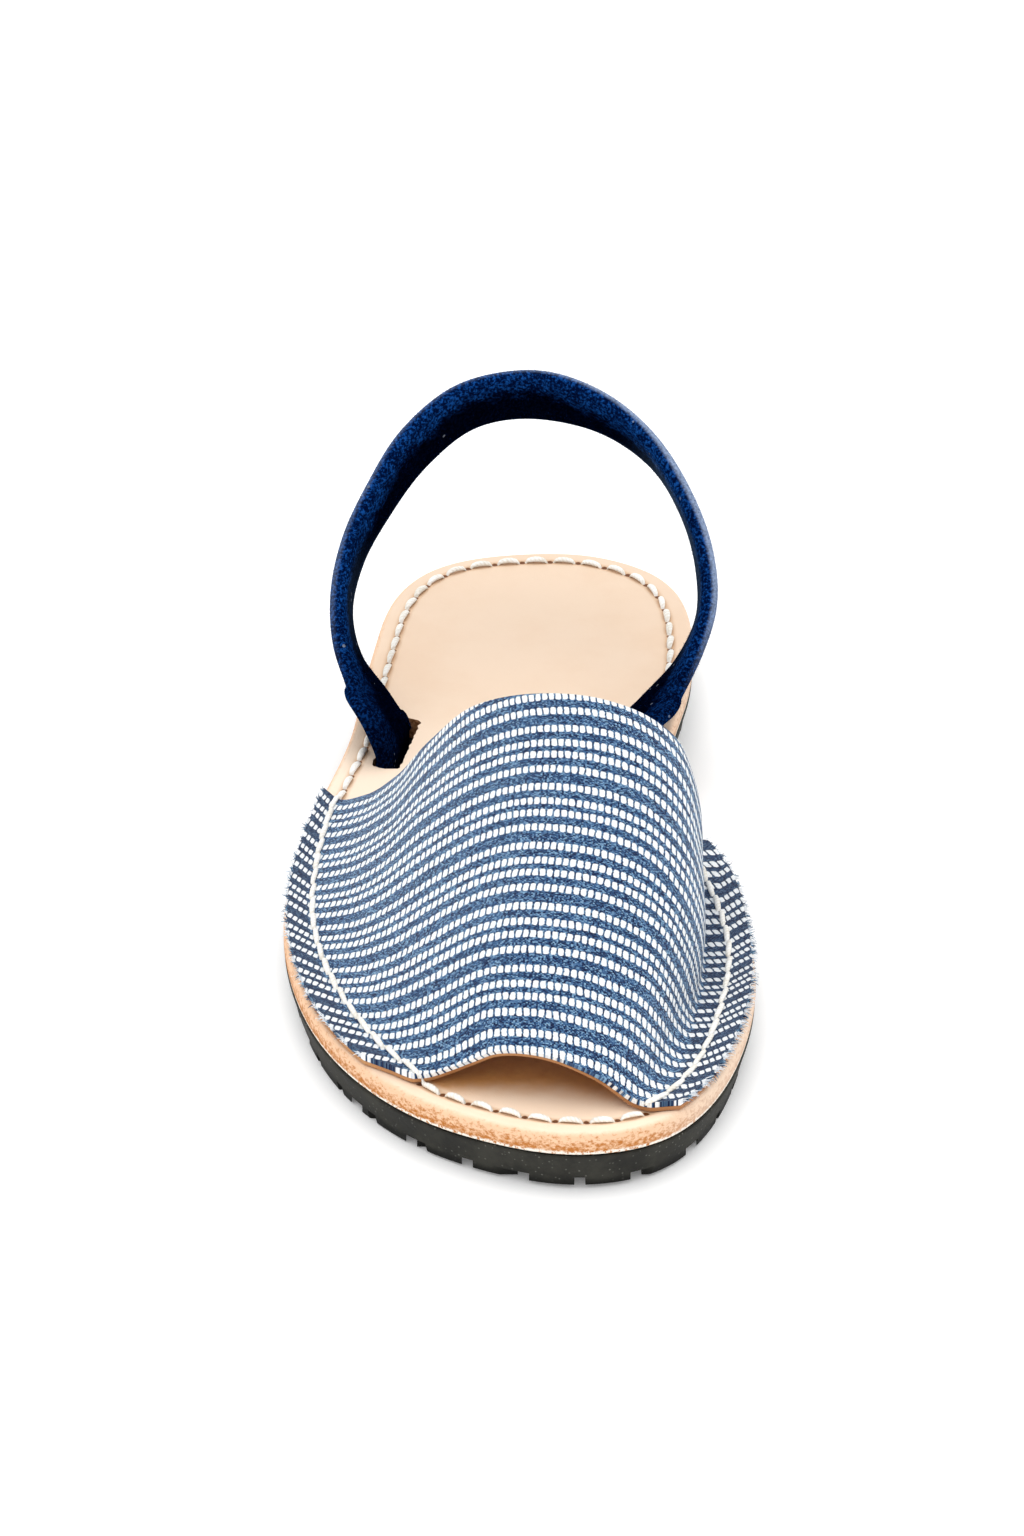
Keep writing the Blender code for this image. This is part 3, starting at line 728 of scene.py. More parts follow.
def rubberMaterial():
    b = newMaterial("treadRubber", Specular_IOR_Level=0.30)
    place = b.objectPlace()
    cloud = b.noise(place, 120.0, 6.0, 0.65)
    colour = b.mix(b.spread(cloud, 0.35, 0.70), outsolePiece["dark"], outsolePiece["light"])
    specks = b.group(lightSpecks, Place=place, Scale=1500.0, Amount=0.16)["Mask"]
    colour = b.mix(specks * 0.45, colour, outsolePiece["speck"])
    # painted shade: the rubber darkens toward the floor over its lowest 3 mm, as a contact shadow
    low = b.split(place)[2] + (cloud - 0.5) * (1.5 * mm)
    colour = b.mix(b.spread(low, 1.2 * mm, 3 * mm, 0.85, 0.0), colour, outsolePiece["foot"])
    height = b.noise(place, 900.0, 5.0, 0.7) + b.noise(place, 250.0, 3.0, 0.6) * 1.2
    return b.paint(colour, b.spread(cloud, 0.3, 0.7, 0.58, 0.80), height, 0.12 * mm, 0.7)


finishPiece(buildOutsole(), rubberMaterial(), "outsole")
print("outsole done")

vampPiece = {
    "rows": 125, "columns": 221, "wall": 2.0 * mm, "cloth": 1.2 * mm,
    "instep": 45.6 * mm, "toeArch": 10.7 * mm, "crownForward": 20.0 * mm, "margin": 0.8 * mm,
    "creaseInset": 6.2 * mm, "lining": (0.36, 0.165, 0.070), "liningLight": (0.50, 0.27, 0.13),
}
# the vamp's four lines: side, rear and toe share of that side, insets rear mouth to toe
vampLines = {
    "lateralEdge": ("lateral", 0.448, 0.825, None),
    "lateralCrease": ("lateral", 0.462, 0.872, (0.74, 0.88, 1.00, 0.89, 0.73)),
    "medialCrease": ("medial", 0.549, 0.943, (0.97, 1.82, 2.10, 1.87, 0.80)),
    "medialEdge": ("medial", 0.530, 0.918, None),
}
# crown: share from toe opening to rear mouth, share of the rise
vampCrown = np.array([(0.0, 0.0), (0.10, 0.150), (0.22, 0.310), (0.45, 0.545), (0.70, 0.770), (1.0, 1.0)])
# sections from lateral to medial crease: (across, up) at toe, middle, rear
vampSections = np.array([
    ((0.000, 0.000), (0.000, 0.000), (0.000, 0.000)), ((0.065, 0.080), (0.075, 0.080), (0.080, 0.075)),
    ((0.150, 0.310), (0.170, 0.260), (0.165, 0.250)), ((0.240, 0.600), (0.290, 0.530), (0.270, 0.570)),
    ((0.330, 0.880), (0.430, 0.800), (0.400, 0.860)), ((0.460, 1.000), (0.590, 0.980), (0.580, 0.995)),
    ((0.580, 0.950), (0.740, 0.985), (0.745, 1.010)), ((0.700, 0.760), (0.860, 0.870), (0.865, 0.940)),
    ((0.800, 0.520), (0.945, 0.680), (0.948, 0.810)), ((0.870, 0.270), (0.985, 0.430), (0.990, 0.610)),
    ((0.930, 0.060), (0.998, 0.170), (1.004, 0.340)), ((1.000, 0.000), (1.000, 0.000), (1.000, 0.000)),
])


# a vamp line in plan at shares from toe opening to rear mouth
def vampLine(name, share):
    side, rear, toe, insets = vampLines[name]
    along = toe + (rear - toe) * share
    inner = atShare(twoSides(vampPiece["margin"])[side], along)
    if insets is None:
        return inner
    base = atShare(twoSides(0.0)[side], along)
    inset = vampPiece["creaseInset"] * openSpline([0.0, 0.17, 0.5, 0.75, 1.0], insets[::-1], share)
    return base + unit(inner - base) * inset[:, None]


# outer skin: crease-to-crease arch from the sections, flat flanges outside, each row
# carried by a spline over its own run
def vampSkin(columns, rows):
    share = np.linspace(0.0, 1.0, rows)
    line = {name: vampLine(name, share)[:, None] for name in vampLines}
    rise = openSpline(vampCrown[:, 0], vampCrown[:, 1], share)
    height = vampPiece["toeArch"] + (vampPiece["instep"] - vampPiece["toeArch"]) * rise
    lift = vampPiece["wall"] + last["gap"]
    section = openSpline([0.0, 0.5, 1.0], vampSections.transpose(1, 0, 2).reshape(3, -1), share)
    section = section.reshape(rows, -1, 2)
    up = section[..., 1]
    a, c = line["lateralCrease"], line["medialCrease"]
    plan = a + (c - a) * section[..., :1]
    plan[..., 1] -= vampPiece["crownForward"] * share[:, None] ** 1.3 * np.maximum(up, 0.0) ** 0.8
    outerA, outerC = line["lateralEdge"], line["medialEdge"]
    plan = np.concatenate([outerA, (outerA + a) / 2, plan, (outerC + c) / 2, outerC], 1)
    guide = np.concatenate([plan, np.pad((height - lift)[:, None] * up, ((0, 0), (2, 2)))[..., None]], -1)
    guide[..., 2] += lift + leatherTop(guide[..., 1])
    steps = np.linspace(0.0, 1.0, columns)
    runs = [runLength(g) for g in guide]
    skin = np.array([openSpline(r / r[-1], g, steps) for r, g in zip(runs, guide)])
    creases = np.array([(r[2] / r[-1], r[-3] / r[-1]) for r in runs])
    skin[..., 2] = np.maximum(skin[..., 2], lift + leatherTop(skin[..., 1]))
    return skin, creases


# stripes: a 16 mm repeat of four rows of white blocks; the rest is fine blue cloth; warp
# and weft are its thread spacing; lengths in mm; on a flange the cloth is drawn flangeScale
# as long and its blue takes painted shade, darkening over flangeFade
weave = {
    "repeat": 16.0, "first": 9.4, "rows": (0.0, 3.95, 7.15, 11.10, 16.0), "rowHalf": 0.96,
    "block": 1.50, "blockHalf": 0.58, "warp": 0.375, "weft": 0.33, "ply": 0.47,
    "flangeScale": 0.92, "flangeFade": 1.2,
    "white": (0.93, 0.94, 0.94), "whiteShade": (0.60, 0.68, 0.78), "blueLight": (0.240, 0.400, 0.560),
    "blueMid": (0.034, 0.105, 0.240), "blueDark": (0.003, 0.014, 0.060), "flange": (0.003, 0.012, 0.050),
    "yarnShade": (0.66, 0.70, 0.76), "yarnWhite": (0.90, 0.91, 0.92),
}
# stripes: across share, then mm from the toe opening to the rows that start a repeat,
# last the whole run of that column
stripeRows = np.array([
    (0.000, 11.8, 28.4, 44.8, 60.8, 76.5, 93.1, 107.5), (0.112, 11.0, 27.6, 44.0, 60.0, 75.9, 92.3, 106.7),
    (0.150, 10.1, 26.3, 42.6, 58.3, 74.7, 91.1, 105.0), (0.200, 9.4, 24.9, 41.3, 57.9, 74.1, 89.8, 102.6),
    (0.250, 8.4, 24.2, 40.7, 57.7, 74.7, 90.4, 100.3), (0.312, 8.3, 24.0, 41.0, 57.8, 74.1, 89.7, 97.8),
    (0.375, 8.9, 24.3, 41.4, 57.7, 73.2, 88.5, 95.8), (0.437, 9.3, 24.4, 41.3, 57.4, 72.6, 88.0, 93.9),
    (0.500, 9.0, 24.3, 40.5, 56.3, 71.8, 87.6, 92.5), (0.562, 9.3, 24.4, 40.1, 55.5, 71.0, 87.2, 91.6),
    (0.625, 9.7, 25.2, 40.4, 55.4, 70.8, 87.1, 91.1), (0.687, 10.3, 26.0, 40.8, 54.9, 70.0, 86.3, 91.4),
    (0.725, 10.7, 26.4, 40.8, 53.4, 68.2, 84.6, 92.1), (0.762, 11.0, 27.0, 40.1, 51.7, 66.0, 83.0, 93.3),
    (0.820, 11.2, 26.6, 39.2, 50.8, 64.8, 81.6, 94.5), (1.000, 11.2, 26.6, 39.2, 50.8, 64.8, 81.6, 94.5)])
# how the rows slope on the flat flange, mm toward the heel per mm outward: the distance
# from the crease where the slope changes, slope before it, slopes after it toe to rear
flangeRows = {"lateral": (0.0, 0.0, (0.30, 0.75, 1.35, 2.00)),
              "medial": (4.6, 0.10, (0.65, 0.95, 1.20, 1.30))}


# rows carried out onto a flange: each flange point lies on the row of the crease point k
# where crease y + slope * distance outward passes its own y, and takes its chart from k
def traceFlange(skin, chart, line, side, sign):
    rows, columns = skin.shape[:2]
    here = np.arange(rows)
    low = (line * (columns - 1)).astype(int)
    part = (line * (columns - 1) - low)[:, None]
    foot = (skin[here, low, :2] * (1 - part) + skin[here, low + 1, :2] * part) / mm
    mark = chart[here, low] * (1 - part) + chart[here, low + 1] * part
    foot, mark = (np.vstack([q[:1] - 40 * (q[3:4] - q[:1]) / 3, q, q[-1:] + 60 * (q[-1:] - q[-4:-3]) / 3])
                  for q in (foot, mark))
    bend, inner, outer = flangeRows[side]
    outer = np.interp(np.linspace(0, 1, rows + 2), np.linspace(0, 1, len(outer)), outer)
    i, j = np.nonzero((np.linspace(0, 1, columns)[None] - line[:, None]) * sign > 0)
    x, y = skin[i, j, 0] / mm, skin[i, j, 1] / mm
    away = np.maximum((x[:, None] - foot[None, :, 0]) * sign, 0.0)
    near, far = np.minimum(away, bend), np.maximum(away - bend, 0.0)
    reach = foot[None, :, 1] + inner * near + outer * far - y[:, None]
    k = np.maximum(np.argmax(reach > 0, axis=1), 1)
    n = np.arange(len(k))
    t = reach[n, k - 1] / (reach[n, k - 1] - reach[n, k])
    out = away[n, k - 1] + (away[n, k] - away[n, k - 1]) * t
    run = np.minimum(out, bend) * (1 + inner**2) ** 0.5
    run = run + np.maximum(out - bend, 0.0) * (1 + outer[k] ** 2) ** 0.5
    moved = mark[k - 1] + (mark[k] - mark[k - 1]) * t[:, None]
    moved[:, 0] += sign * run * weave["flangeScale"]
    return i, j, moved, smoothStep(out / weave["flangeFade"])


# cloth coordinates in mm: u along a stripe from the middle, v across the stripes; on
# the arch v follows the measured rows, on a flange it follows the traced rows
def clothChart(skin, creases):
    rows, columns = skin.shape[:2]
    step = np.linalg.norm(np.diff(skin, axis=1), axis=2)
    across = np.concatenate([np.zeros((rows, 1)), np.cumsum(step, 1)], 1)
    middle = columns // 2
    u = (across - across[:, middle:middle + 1]) / mm
    step = np.linalg.norm(np.diff(skin, axis=0), axis=2)
    along = np.concatenate([np.zeros((1, columns)), np.cumsum(step, 0)], 0)
    along = along / along[-1:]
    soft = np.ones(15) / 15
    share = np.linspace(0.0, 1.0, columns)
    table = [np.interp(share, stripeRows[:, 0], q) for q in stripeRows[:, 1:].T]
    table = np.array([np.convolve(np.pad(q, 7, mode="edge"), soft, "valid") for q in table])
    whole = table[-1]
    places = weave["first"] + weave["repeat"] * np.arange(6)
    v = np.empty((rows, columns))
    for j in range(columns):
        knots = [0.0, *table[:-1, j] / whole[j], 1.0]
        marks = [weave["first"] - table[0, j], *places, places[-1] + whole[j] - table[-2, j]]
        v[:, j] = openSpline(knots, marks, along[:, j])
    chart = np.stack([u, v], -1)
    flange = np.zeros((rows, columns))
    for which, (side, sign) in enumerate((("lateral", -1.0), ("medial", 1.0))):
        i, j, moved, out = traceFlange(skin, chart, creases[:, which], side, sign)
        chart[i, j], flange[i, j] = moved, out
    return chart, flange


# a closed sheet between two grids of points
def shell(name, outer, inner):
    points = np.concatenate([outer.reshape(-1, 3), inner.reshape(-1, 3)])
    item = makeMesh(name, points, shellFaces(*outer.shape[:2]))
    cleanMesh(item, 1e-7, 50)
    return item


# cloth: skin less its thickness; lining: the rest of the wall on a coarser grid, a hair
# longer at the toe mouth
def buildVamp():
    skin, creases = vampSkin(vampPiece["columns"], vampPiece["rows"])
    chart, flange = clothChart(skin, creases)
    normal = gridNormals(skin)
    cloth = shell("stripedCloth", skin, skin - normal * vampPiece["cloth"])
    setUv(cloth, "weave", np.tile(chart.reshape(-1, 2), (2, 1)))
    setValue(cloth, "flange", np.tile(flange.ravel(), 2))
    coarse, push = skin[::2, ::2], normal[::2, ::2]
    layers = [coarse - push * depth for depth in (vampPiece["cloth"] + 0.02 * mm, vampPiece["wall"])]
    for layer in layers:
        layer[0] += unit(coarse[0] - coarse[1]) * 0.10 * mm
    return cloth, shell("vampLining", *layers), skin, chart


def clothMaterial():
    b = newMaterial("stripedWeave", Specular_IOR_Level=0.22, Sheen_Weight=0.25, Sheen_Roughness=0.5)
    uv = b.uvPlace("weave")
    bent = b.vector("ADD", b.vector("ADD", uv, b.drift(uv, 0.55, 2.0, 0.55)), b.drift(uv, 2.6, 1.0, 0.28))
    u, v, _ = b.split(bent)
    p = b.math("MODULO", v + (20 * weave["repeat"] - weave["first"]), weave["repeat"])
    near = None
    for place in weave["rows"]:
        gap = abs(p - place)
        near = gap if near is None else b.math("MINIMUM", near, gap)
    dx = abs(b.math("FRACT", u / weave["block"]) - 0.5) * weave["block"]
    # rounded block: (dx/a)^4 + (dv/b)^4
    roundBlock = (dx / weave["blockHalf"]) ** 4.0 + (near / weave["rowHalf"]) ** 4.0
    white = b.spread(roundBlock, 0.70, 1.35, 1.0, 0.0)
    # fine cloth: product of two sines is the over-and-under of the threads, each thread
    # end lighter or darker by its own share
    warp = b.math("SINE", u * (math.pi / weave["warp"]))
    over = warp * b.math("SINE", v * (math.pi / weave["weft"]))
    cell = b.vector("FLOOR", b.vector("DIVIDE", b.join(u, v), (weave["warp"], weave["weft"], 1.0)))
    end = b.fed("ShaderNodeTexWhiteNoise", {"Vector": cell}, "Value", noise_dimensions="2D")
    slub = b.noise(b.vector("MULTIPLY", uv, (0.5, 2.6, 1.0)), 1.0, 3.0, 0.6)
    mark = b.noise(b.vector("MULTIPLY", uv, (2.6, 3.0, 1.0)), 1.0, 2.0, 0.7)
    tone = over * 0.18 + (slub - 0.5) * 0.7 + (mark - 0.5) * 1.3 + end * 0.80
    blue = b.mix(b.spread(tone, 0.14, 0.44), weave["blueDark"], weave["blueMid"])
    blue = b.mix(b.spread(tone, 0.46, 0.86), blue, weave["blueLight"])
    # painted shade: out on the flanges the blue darkens
    blue = b.mix(b.value("flange") * 0.62, blue, weave["flange"])
    thread = b.math("SINE", v * (2 * math.pi / weave["ply"]))
    paper = b.mix(b.spread(thread * 0.15 + mark, 0.10, 0.55), weave["whiteShade"], weave["white"])
    dome = white * (1.0 - roundBlock * 0.35)
    height = dome * 1.5 + over * 0.35 + mark * 0.7 + thread * white * 0.12
    return b.paint(b.mix(white, blue, paper), 0.85, height, 0.20 * mm, 0.9)


def liningMaterial():
    b = newMaterial("liningLeather", Specular_IOR_Level=0.30)
    grain = b.group(leatherGrain, Place=b.objectPlace(), PoreScale=1000.0, MottleScale=60.0)
    mottle = grain["Mottle"]
    colour = b.mix(b.spread(mottle, 0.3, 0.7), vampPiece["lining"], vampPiece["liningLight"])
    return b.paint(colour, b.spread(mottle, 0.3, 0.7, 0.60, 0.75), grain["Height"], 0.08 * mm, 0.7)


stripedCloth, vampLining, vampGrid, vampChart = buildVamp()
finishPiece(stripedCloth, clothMaterial(), "upper")
finishPiece(vampLining, liningMaterial())
print("vamp done")

# each pair is for a stitch on the cloth and one on the bare leather: start and span in
# stitch lengths, hump and its power, dip into the hole and its run, thickness at the ends
stitchPiece = {
    "wide": 0.72 * mm, "high": 0.56 * mm, "slant": 0.26 * mm, "uneven": 0.10 * mm, "clothStep": 1.2 * mm,
    "pairs": {"start": (-0.01, 0.06), "span": (1.02, 0.88), "rise": (0.34 * mm, 0.70 * mm),
              "power": (0.35, 0.7), "dip": (0.30 * mm, 0.75 * mm), "dipRun": (0.25, 0.45),
              "thin": (0.55, 0.25), "scale": (0.86, 1.0)},
    "stations": 13, "round": 10, "white": (0.90, 0.89, 0.86), "soiled": (0.74, 0.70, 0.62),
}


# height of cloth or leather under a plan point: nearest skin points of the flanges and
# their creases, weighed by closeness; the bare leather where no cloth is near
def surfaceUnder(plan):
    columns = vampGrid.shape[1]
    ends = vampGrid[:, :columns // 5], vampGrid[:, -columns // 5:]
    zone = np.concatenate([q.reshape(-1, 3) for q in ends])
    out = footbedTop(plan[:, 0], plan[:, 1])
    for start in range(0, len(plan), 200):
        part = plan[start:start + 200]
        away = np.linalg.norm(part[:, None] - zone[None, :, :2], axis=2)
        order = np.argpartition(away, 4, axis=1)[:, :4]
        close = np.take_along_axis(away, order, 1)
        weight = 1.0 / (close + 0.05 * mm)
        z = np.sum(zone[order, 2] * weight, 1) / weight.sum(1)
        out[start:start + 200] = np.where(close.min(1) < 0.75 * mm, z, out[start:start + 200])
    return out


# stitches: tube number i follows the seam from hole i to hole i+1; its middle rises as
# sin(pi s), its ends dip into the holes and its sides narrow as sin(pi s) to a low power
def buildStitches():
    dice = np.random.default_rng(11)
    stations, sides = stitchPiece["stations"], stitchPiece["round"]
    s = np.linspace(0.0, 1.0, stations)
    index = np.arange(stitchCount)[:, None]
    centre = atRun(seamLine, seamRun, (index[:, 0] + 0.5) / stitchCount * seamRun[-1])
    onCloth = surfaceUnder(centre) > footbedTop(*centre.T) + stitchPiece["clothStep"]
    own = {key: np.where(onCloth[:, None], *pair) for key, pair in stitchPiece["pairs"].items()}
    whole = index + own["start"] + own["span"] * s[None]
    plan = atRun(seamLine, seamRun, whole / stitchCount * seamRun[-1])
    ahead = unit(np.gradient(plan, axis=1))
    side = np.stack([ahead[..., 1], -ahead[..., 0]], -1)
    slant = stitchPiece["slant"] * dice.uniform(0.6, 1.3, (stitchCount, 1))
    plan = plan + side * (slant * (2 * s[None] - 1.0))[..., None]
    ground = surfaceUnder(plan.reshape(-1, 2)).reshape(plan.shape[:2])
    soft = ground.copy()
    soft[:, 1:-1] = (ground[:, :-2] + 2 * ground[:, 1:-1] + ground[:, 2:]) / 4
    hump = np.sin(math.pi * s)[None]
    rise = own["rise"] + stitchPiece["uneven"] * dice.uniform(-1, 1, (stitchCount, 1))
    dip = own["dip"] * (1.0 - smoothStep(hump / own["dipRun"]))
    middle = np.concatenate([plan, (soft + rise * hump ** own["power"] - dip)[..., None]], -1)
    size = own["thin"] + (1.0 - own["thin"]) * hump ** 0.45
    size = size * dice.uniform(0.92, 1.08, (stitchCount, 1)) * own["scale"]
    side = np.concatenate([side, np.zeros_like(side[..., :1])], -1)
    up = np.broadcast_to([0.0, 0.0, 1.0], side.shape)
    ring = tubeRings(middle, side, up, stitchPiece["wide"] * size, stitchPiece["high"] * size, sides)
    item = makeMesh("waxedStitches", ring, tubeFaces(stitchCount, stations, sides))
    cleanMesh(item, 1e-7)
    along = np.broadcast_to((index + s[None])[..., None] * 6.0, ring.shape[:3])
    around = np.broadcast_to(np.arange(sides) / sides, ring.shape[:3])
    setUv(item, "twist", np.stack([along, around], -1).reshape(-1, 2))
    return item


def threadMaterial():
    b = newMaterial("waxedThread", Specular_IOR_Level=0.35)
    x, y, _ = b.split(b.uvPlace("twist"))
    ply = b.math("SINE", (x + y * 2.0) * (2 * math.pi))
    dirt = b.noise(b.objectPlace(), 320.0, 4.0, 0.6)
    colour = b.mix(b.spread(ply * -0.08 + dirt, 0.35, 0.75), stitchPiece["white"], stitchPiece["soiled"])
    return b.paint(colour, 0.55, ply + dirt, 0.07 * mm, 0.6)


finishPiece(buildStitches(), threadMaterial())
print("stitches done")

frayPiece = {
    "fibres": 900, "long": (0.5 * mm, 1.9 * mm), "thick": 0.085 * mm, "rooted": 0.35 * mm,
    "whiteHalf": 1.05, "stations": 6, "round": 4,
}


# loose yarns at the flanges' cut edge: root on the edge, leaning outward, bending by a
# squared share of their length; white where a white row meets the edge
def buildFray():
    dice = np.random.default_rng(23)
    rows, columns = vampGrid.shape[:2]
    count, stations, sides = (frayPiece[k] for k in ("fibres", "stations", "round"))
    s = np.linspace(0.0, 1.0, stations)
    pieces, tones = [], []
    for column, inner in ((0, 6), (columns - 1, columns - 7)):
        where = dice.uniform(0, rows - 1.001, count)
        i = where.astype(int)
        f = (where - i)[:, None]
        edge, within = (vampGrid[i, q] * (1 - f) + vampGrid[i + 1, q] * f for q in (column, inner))
        v = vampChart[i, column, 1] * (1 - f[:, 0]) + vampChart[i + 1, column, 1] * f[:, 0]
        p = np.mod(v + 20 * weave["repeat"] - weave["first"], weave["repeat"])
        near = np.min(np.abs(p[:, None] - np.array(weave["rows"])[None]), 1)
        tones.append((near < frayPiece["whiteHalf"]).astype(float))
        out = unit(edge - within)
        along = unit(vampGrid[i + 1, column] - vampGrid[i, column])
        ahead = out + along * dice.normal(0.25, 0.45, (count, 1))
        ahead[:, 2] += dice.normal(0.0, 0.22, count)
        ahead = unit(ahead)
        bend = along * dice.normal(0, 0.4, (count, 1))
        bend = bend + np.array([0, 0, 1.0]) * dice.normal(-0.25, 0.35, (count, 1))
        long = dice.uniform(*frayPiece["long"], (count, 1, 1))
        long = long * np.where(tones[-1], 1.15, 1.0)[:, None, None]
        root = edge - out * frayPiece["rooted"]
        root[:, 2] -= dice.uniform(0.05, 0.75, count) * mm
        share = s[None, :, None]
        pieces.append(root[:, None] + long * (ahead[:, None] * share + bend[:, None] * 0.5 * share**2))
    path = np.concatenate(pieces)
    path[..., 2] = np.maximum(path[..., 2], 0.4 * mm)
    ahead = unit(np.gradient(path, axis=1))
    side = unit(np.cross(ahead, (0.0, 0.0, 1.0)))
    size = frayPiece["thick"] * dice.uniform(0.7, 1.5, (len(path), 1)) * (1.0 - 0.65 * s[None] ** 2)
    ring = tubeRings(path, side, np.cross(side, ahead), size, size, sides)
    item = makeMesh("frayedYarns", ring, tubeFaces(len(path), stations, sides))
    cleanMesh(item, 1e-9)
    setValue(item, "tone", np.repeat(np.concatenate(tones), stations * sides))
    return item


def yarnMaterial():
    b = newMaterial("looseYarn", Specular_IOR_Level=0.2)
    mottled = b.spread(b.noise(b.objectPlace(), 900.0, 2.0, 0.6), 0.3, 0.7)
    blue = b.mix(mottled, weave["blueDark"], weave["blueLight"])
    white = b.mix(mottled, weave["yarnShade"], weave["yarnWhite"])
    return b.paint(b.mix(b.value("tone"), blue, white), 0.9)


finishPiece(buildFray(), yarnMaterial())
print("frayed edges done")

strapPiece = {
    "thick": 3.8 * mm, "width": 16.5 * mm, "neckRise": 3.8 * mm, "spread": 40.5 * mm,
    "reach": 81.0 * mm, "slope": 41.0, "centre": 2.3 * mm, "slack": 0.8 * mm, "samples": 300, "round": 44,
    # deep and lit are the suede's painted shade and painted light, pale its painted sheen; lit is also one
    # tone of the nap's fibres
    "deep": (0.0002, 0.0006, 0.006), "navy": (0.0008, 0.0100, 0.055), "lit": (0.012, 0.085, 0.300),
    "pale": (0.16, 0.26, 0.42), "rimHighlight": (0.34, 0.42, 0.58), "lint": (0.45, 0.50, 0.58),
}
# from slot to heel back: out lateral, out medial, back, wide, upper edge's lean
strapTable = [
    (0.842, 0.690, 0.135, 1.06, (0.40, 0.40, -0.78, 0.48)),
    (0.957, 0.843, 0.250, 0.98, (0.25, 0.25, -0.72, 0.65)),
    (1.000, 0.948, 0.390, 0.90, (0.12, 0.10, -0.66, 0.74)),
    (0.944, 0.938, 0.545, 0.90, (0.12, 0.00, -0.62, 0.77)),
    (0.807, 0.850, 0.695, 0.92, (0.17, -0.12, -0.58, 0.79)),
    (0.605, 0.668, 0.853, 0.94, (0.24, -0.20, -0.54, 0.82)),
    (0.325, 0.375, 0.970, 0.94, (0.17, -0.16, -0.49, 0.86)),
    (0.000, 0.000, 1.003, 0.94, (0.00, 0.00, -0.45, 0.89)),
]


# middle line, upper edge's direction and width of half the band, from in its slot to heel back
def strapHalf(side):
    sign = 1.0 if side == "medial" else -1.0
    across, along, turn, neck = footbedPiece["slots"][side]
    x0 = across * last["ballWidth"] / 2 + sign * strapPiece["slack"]
    y0 = along * last["length"] / 2
    slope, angle = math.radians(strapPiece["slope"]), math.radians(turn)
    low, ground, rise = rubberTop(y0) + last["gap"], leatherTop(y0), strapPiece["neckRise"]
    inSlot = footbedPiece["slotLength"] - 2 * last["gap"]
    places = [(x0, y0, low), (x0, y0, (low + ground) / 2), (x0, y0, ground + last["gap"]),
              (x0 + sign * 0.4 * rise, y0 + 0.1 * rise, ground + rise)]
    leans = [(math.sin(angle), -math.cos(angle), 0.0)] * 3 + [(sign * neck, -0.96, 0.14)]
    wides = [inSlot] * 3 + [0.955 * inSlot]
    for outLateral, outMedial, back, wide, lean in strapTable:
        reach = strapPiece["reach"] * back
        out = outMedial if side == "medial" else outLateral
        places.append((strapPiece["centre"] + sign * strapPiece["spread"] * out,
                       y0 + reach * math.cos(slope), ground + reach * math.sin(slope)))
        leans.append((sign * lean[1 if side == "medial" else 0], lean[2], lean[3]))
        wides.append(strapPiece["width"] * wide)
    return places, leans, wides


# strap: soft-edged band carried along the loop; its upper edge leans as the table says;
# section: |x/w|^p + |y/t|^q = 1, flat faces and round edges
def strapSurface():
    left, right = strapHalf("lateral"), strapHalf("medial")
    places, leans, wides = (np.array(a + c[-2::-1]) for a, c in zip(left, right))
    run = runLength(places)
    knots = run / run[-1]
    step = np.linspace(0.0, 1.0, strapPiece["samples"])
    path, lean, wide = (openSpline(knots, q, step) for q in (places, leans, wides))
    ahead = np.gradient(path, axis=0)
    ahead[0], ahead[-1] = (0.0, 0.0, 1.0), (0.0, 0.0, -1.0)
    ahead = unit(ahead)
    lean = unit(lean - np.sum(lean * ahead, axis=1)[:, None] * ahead)
    toInside = np.cross(ahead, lean)
    turn = np.linspace(0.0, 2 * math.pi, strapPiece["round"], endpoint=False)
    c, s = np.cos(turn), np.sin(turn)
    x = np.sign(c) * np.abs(c) ** 0.42
    y = np.sign(s) * np.abs(s) ** 0.62
    u = wide[:, None] / 2 * x[None]
    w = strapPiece["thick"] / 2 * y[None, :, None]
    ring = path[:, None] + lean[:, None] * u[..., None] + toInside[:, None] * w
    return ring, runLength(path), u, y


# uv "nap" is mm along and up the band; "edge" grows over the round edges, "outer" outward
def buildStrap():
    ring, run, u, y = strapSurface()
    samples, sides = ring.shape[:2]
    faces = gridFaces(samples, sides, wrap=True).tolist()
    faces += [list(range(sides)), list(range((samples - 1) * sides, samples * sides))]
    item = makeMesh("suedeStrap", ring, faces)
    cleanMesh(item, 1e-7, 60)
    along = np.broadcast_to(run[:, None] / mm, ring.shape[:2])
    setUv(item, "nap", np.stack([along, u / mm], -1).reshape(-1, 2))
    setValue(item, "edge", np.tile(1.0 - np.abs(y), samples))
    setValue(item, "outer", np.tile(-y, samples))
    return item


napPiece = {
    "fibres": 15000, "long": (0.16 * mm, 0.50 * mm), "half": 0.028 * mm, "rooted": 0.08 * mm,
    "stray": 0.55, "ends": 12,
}


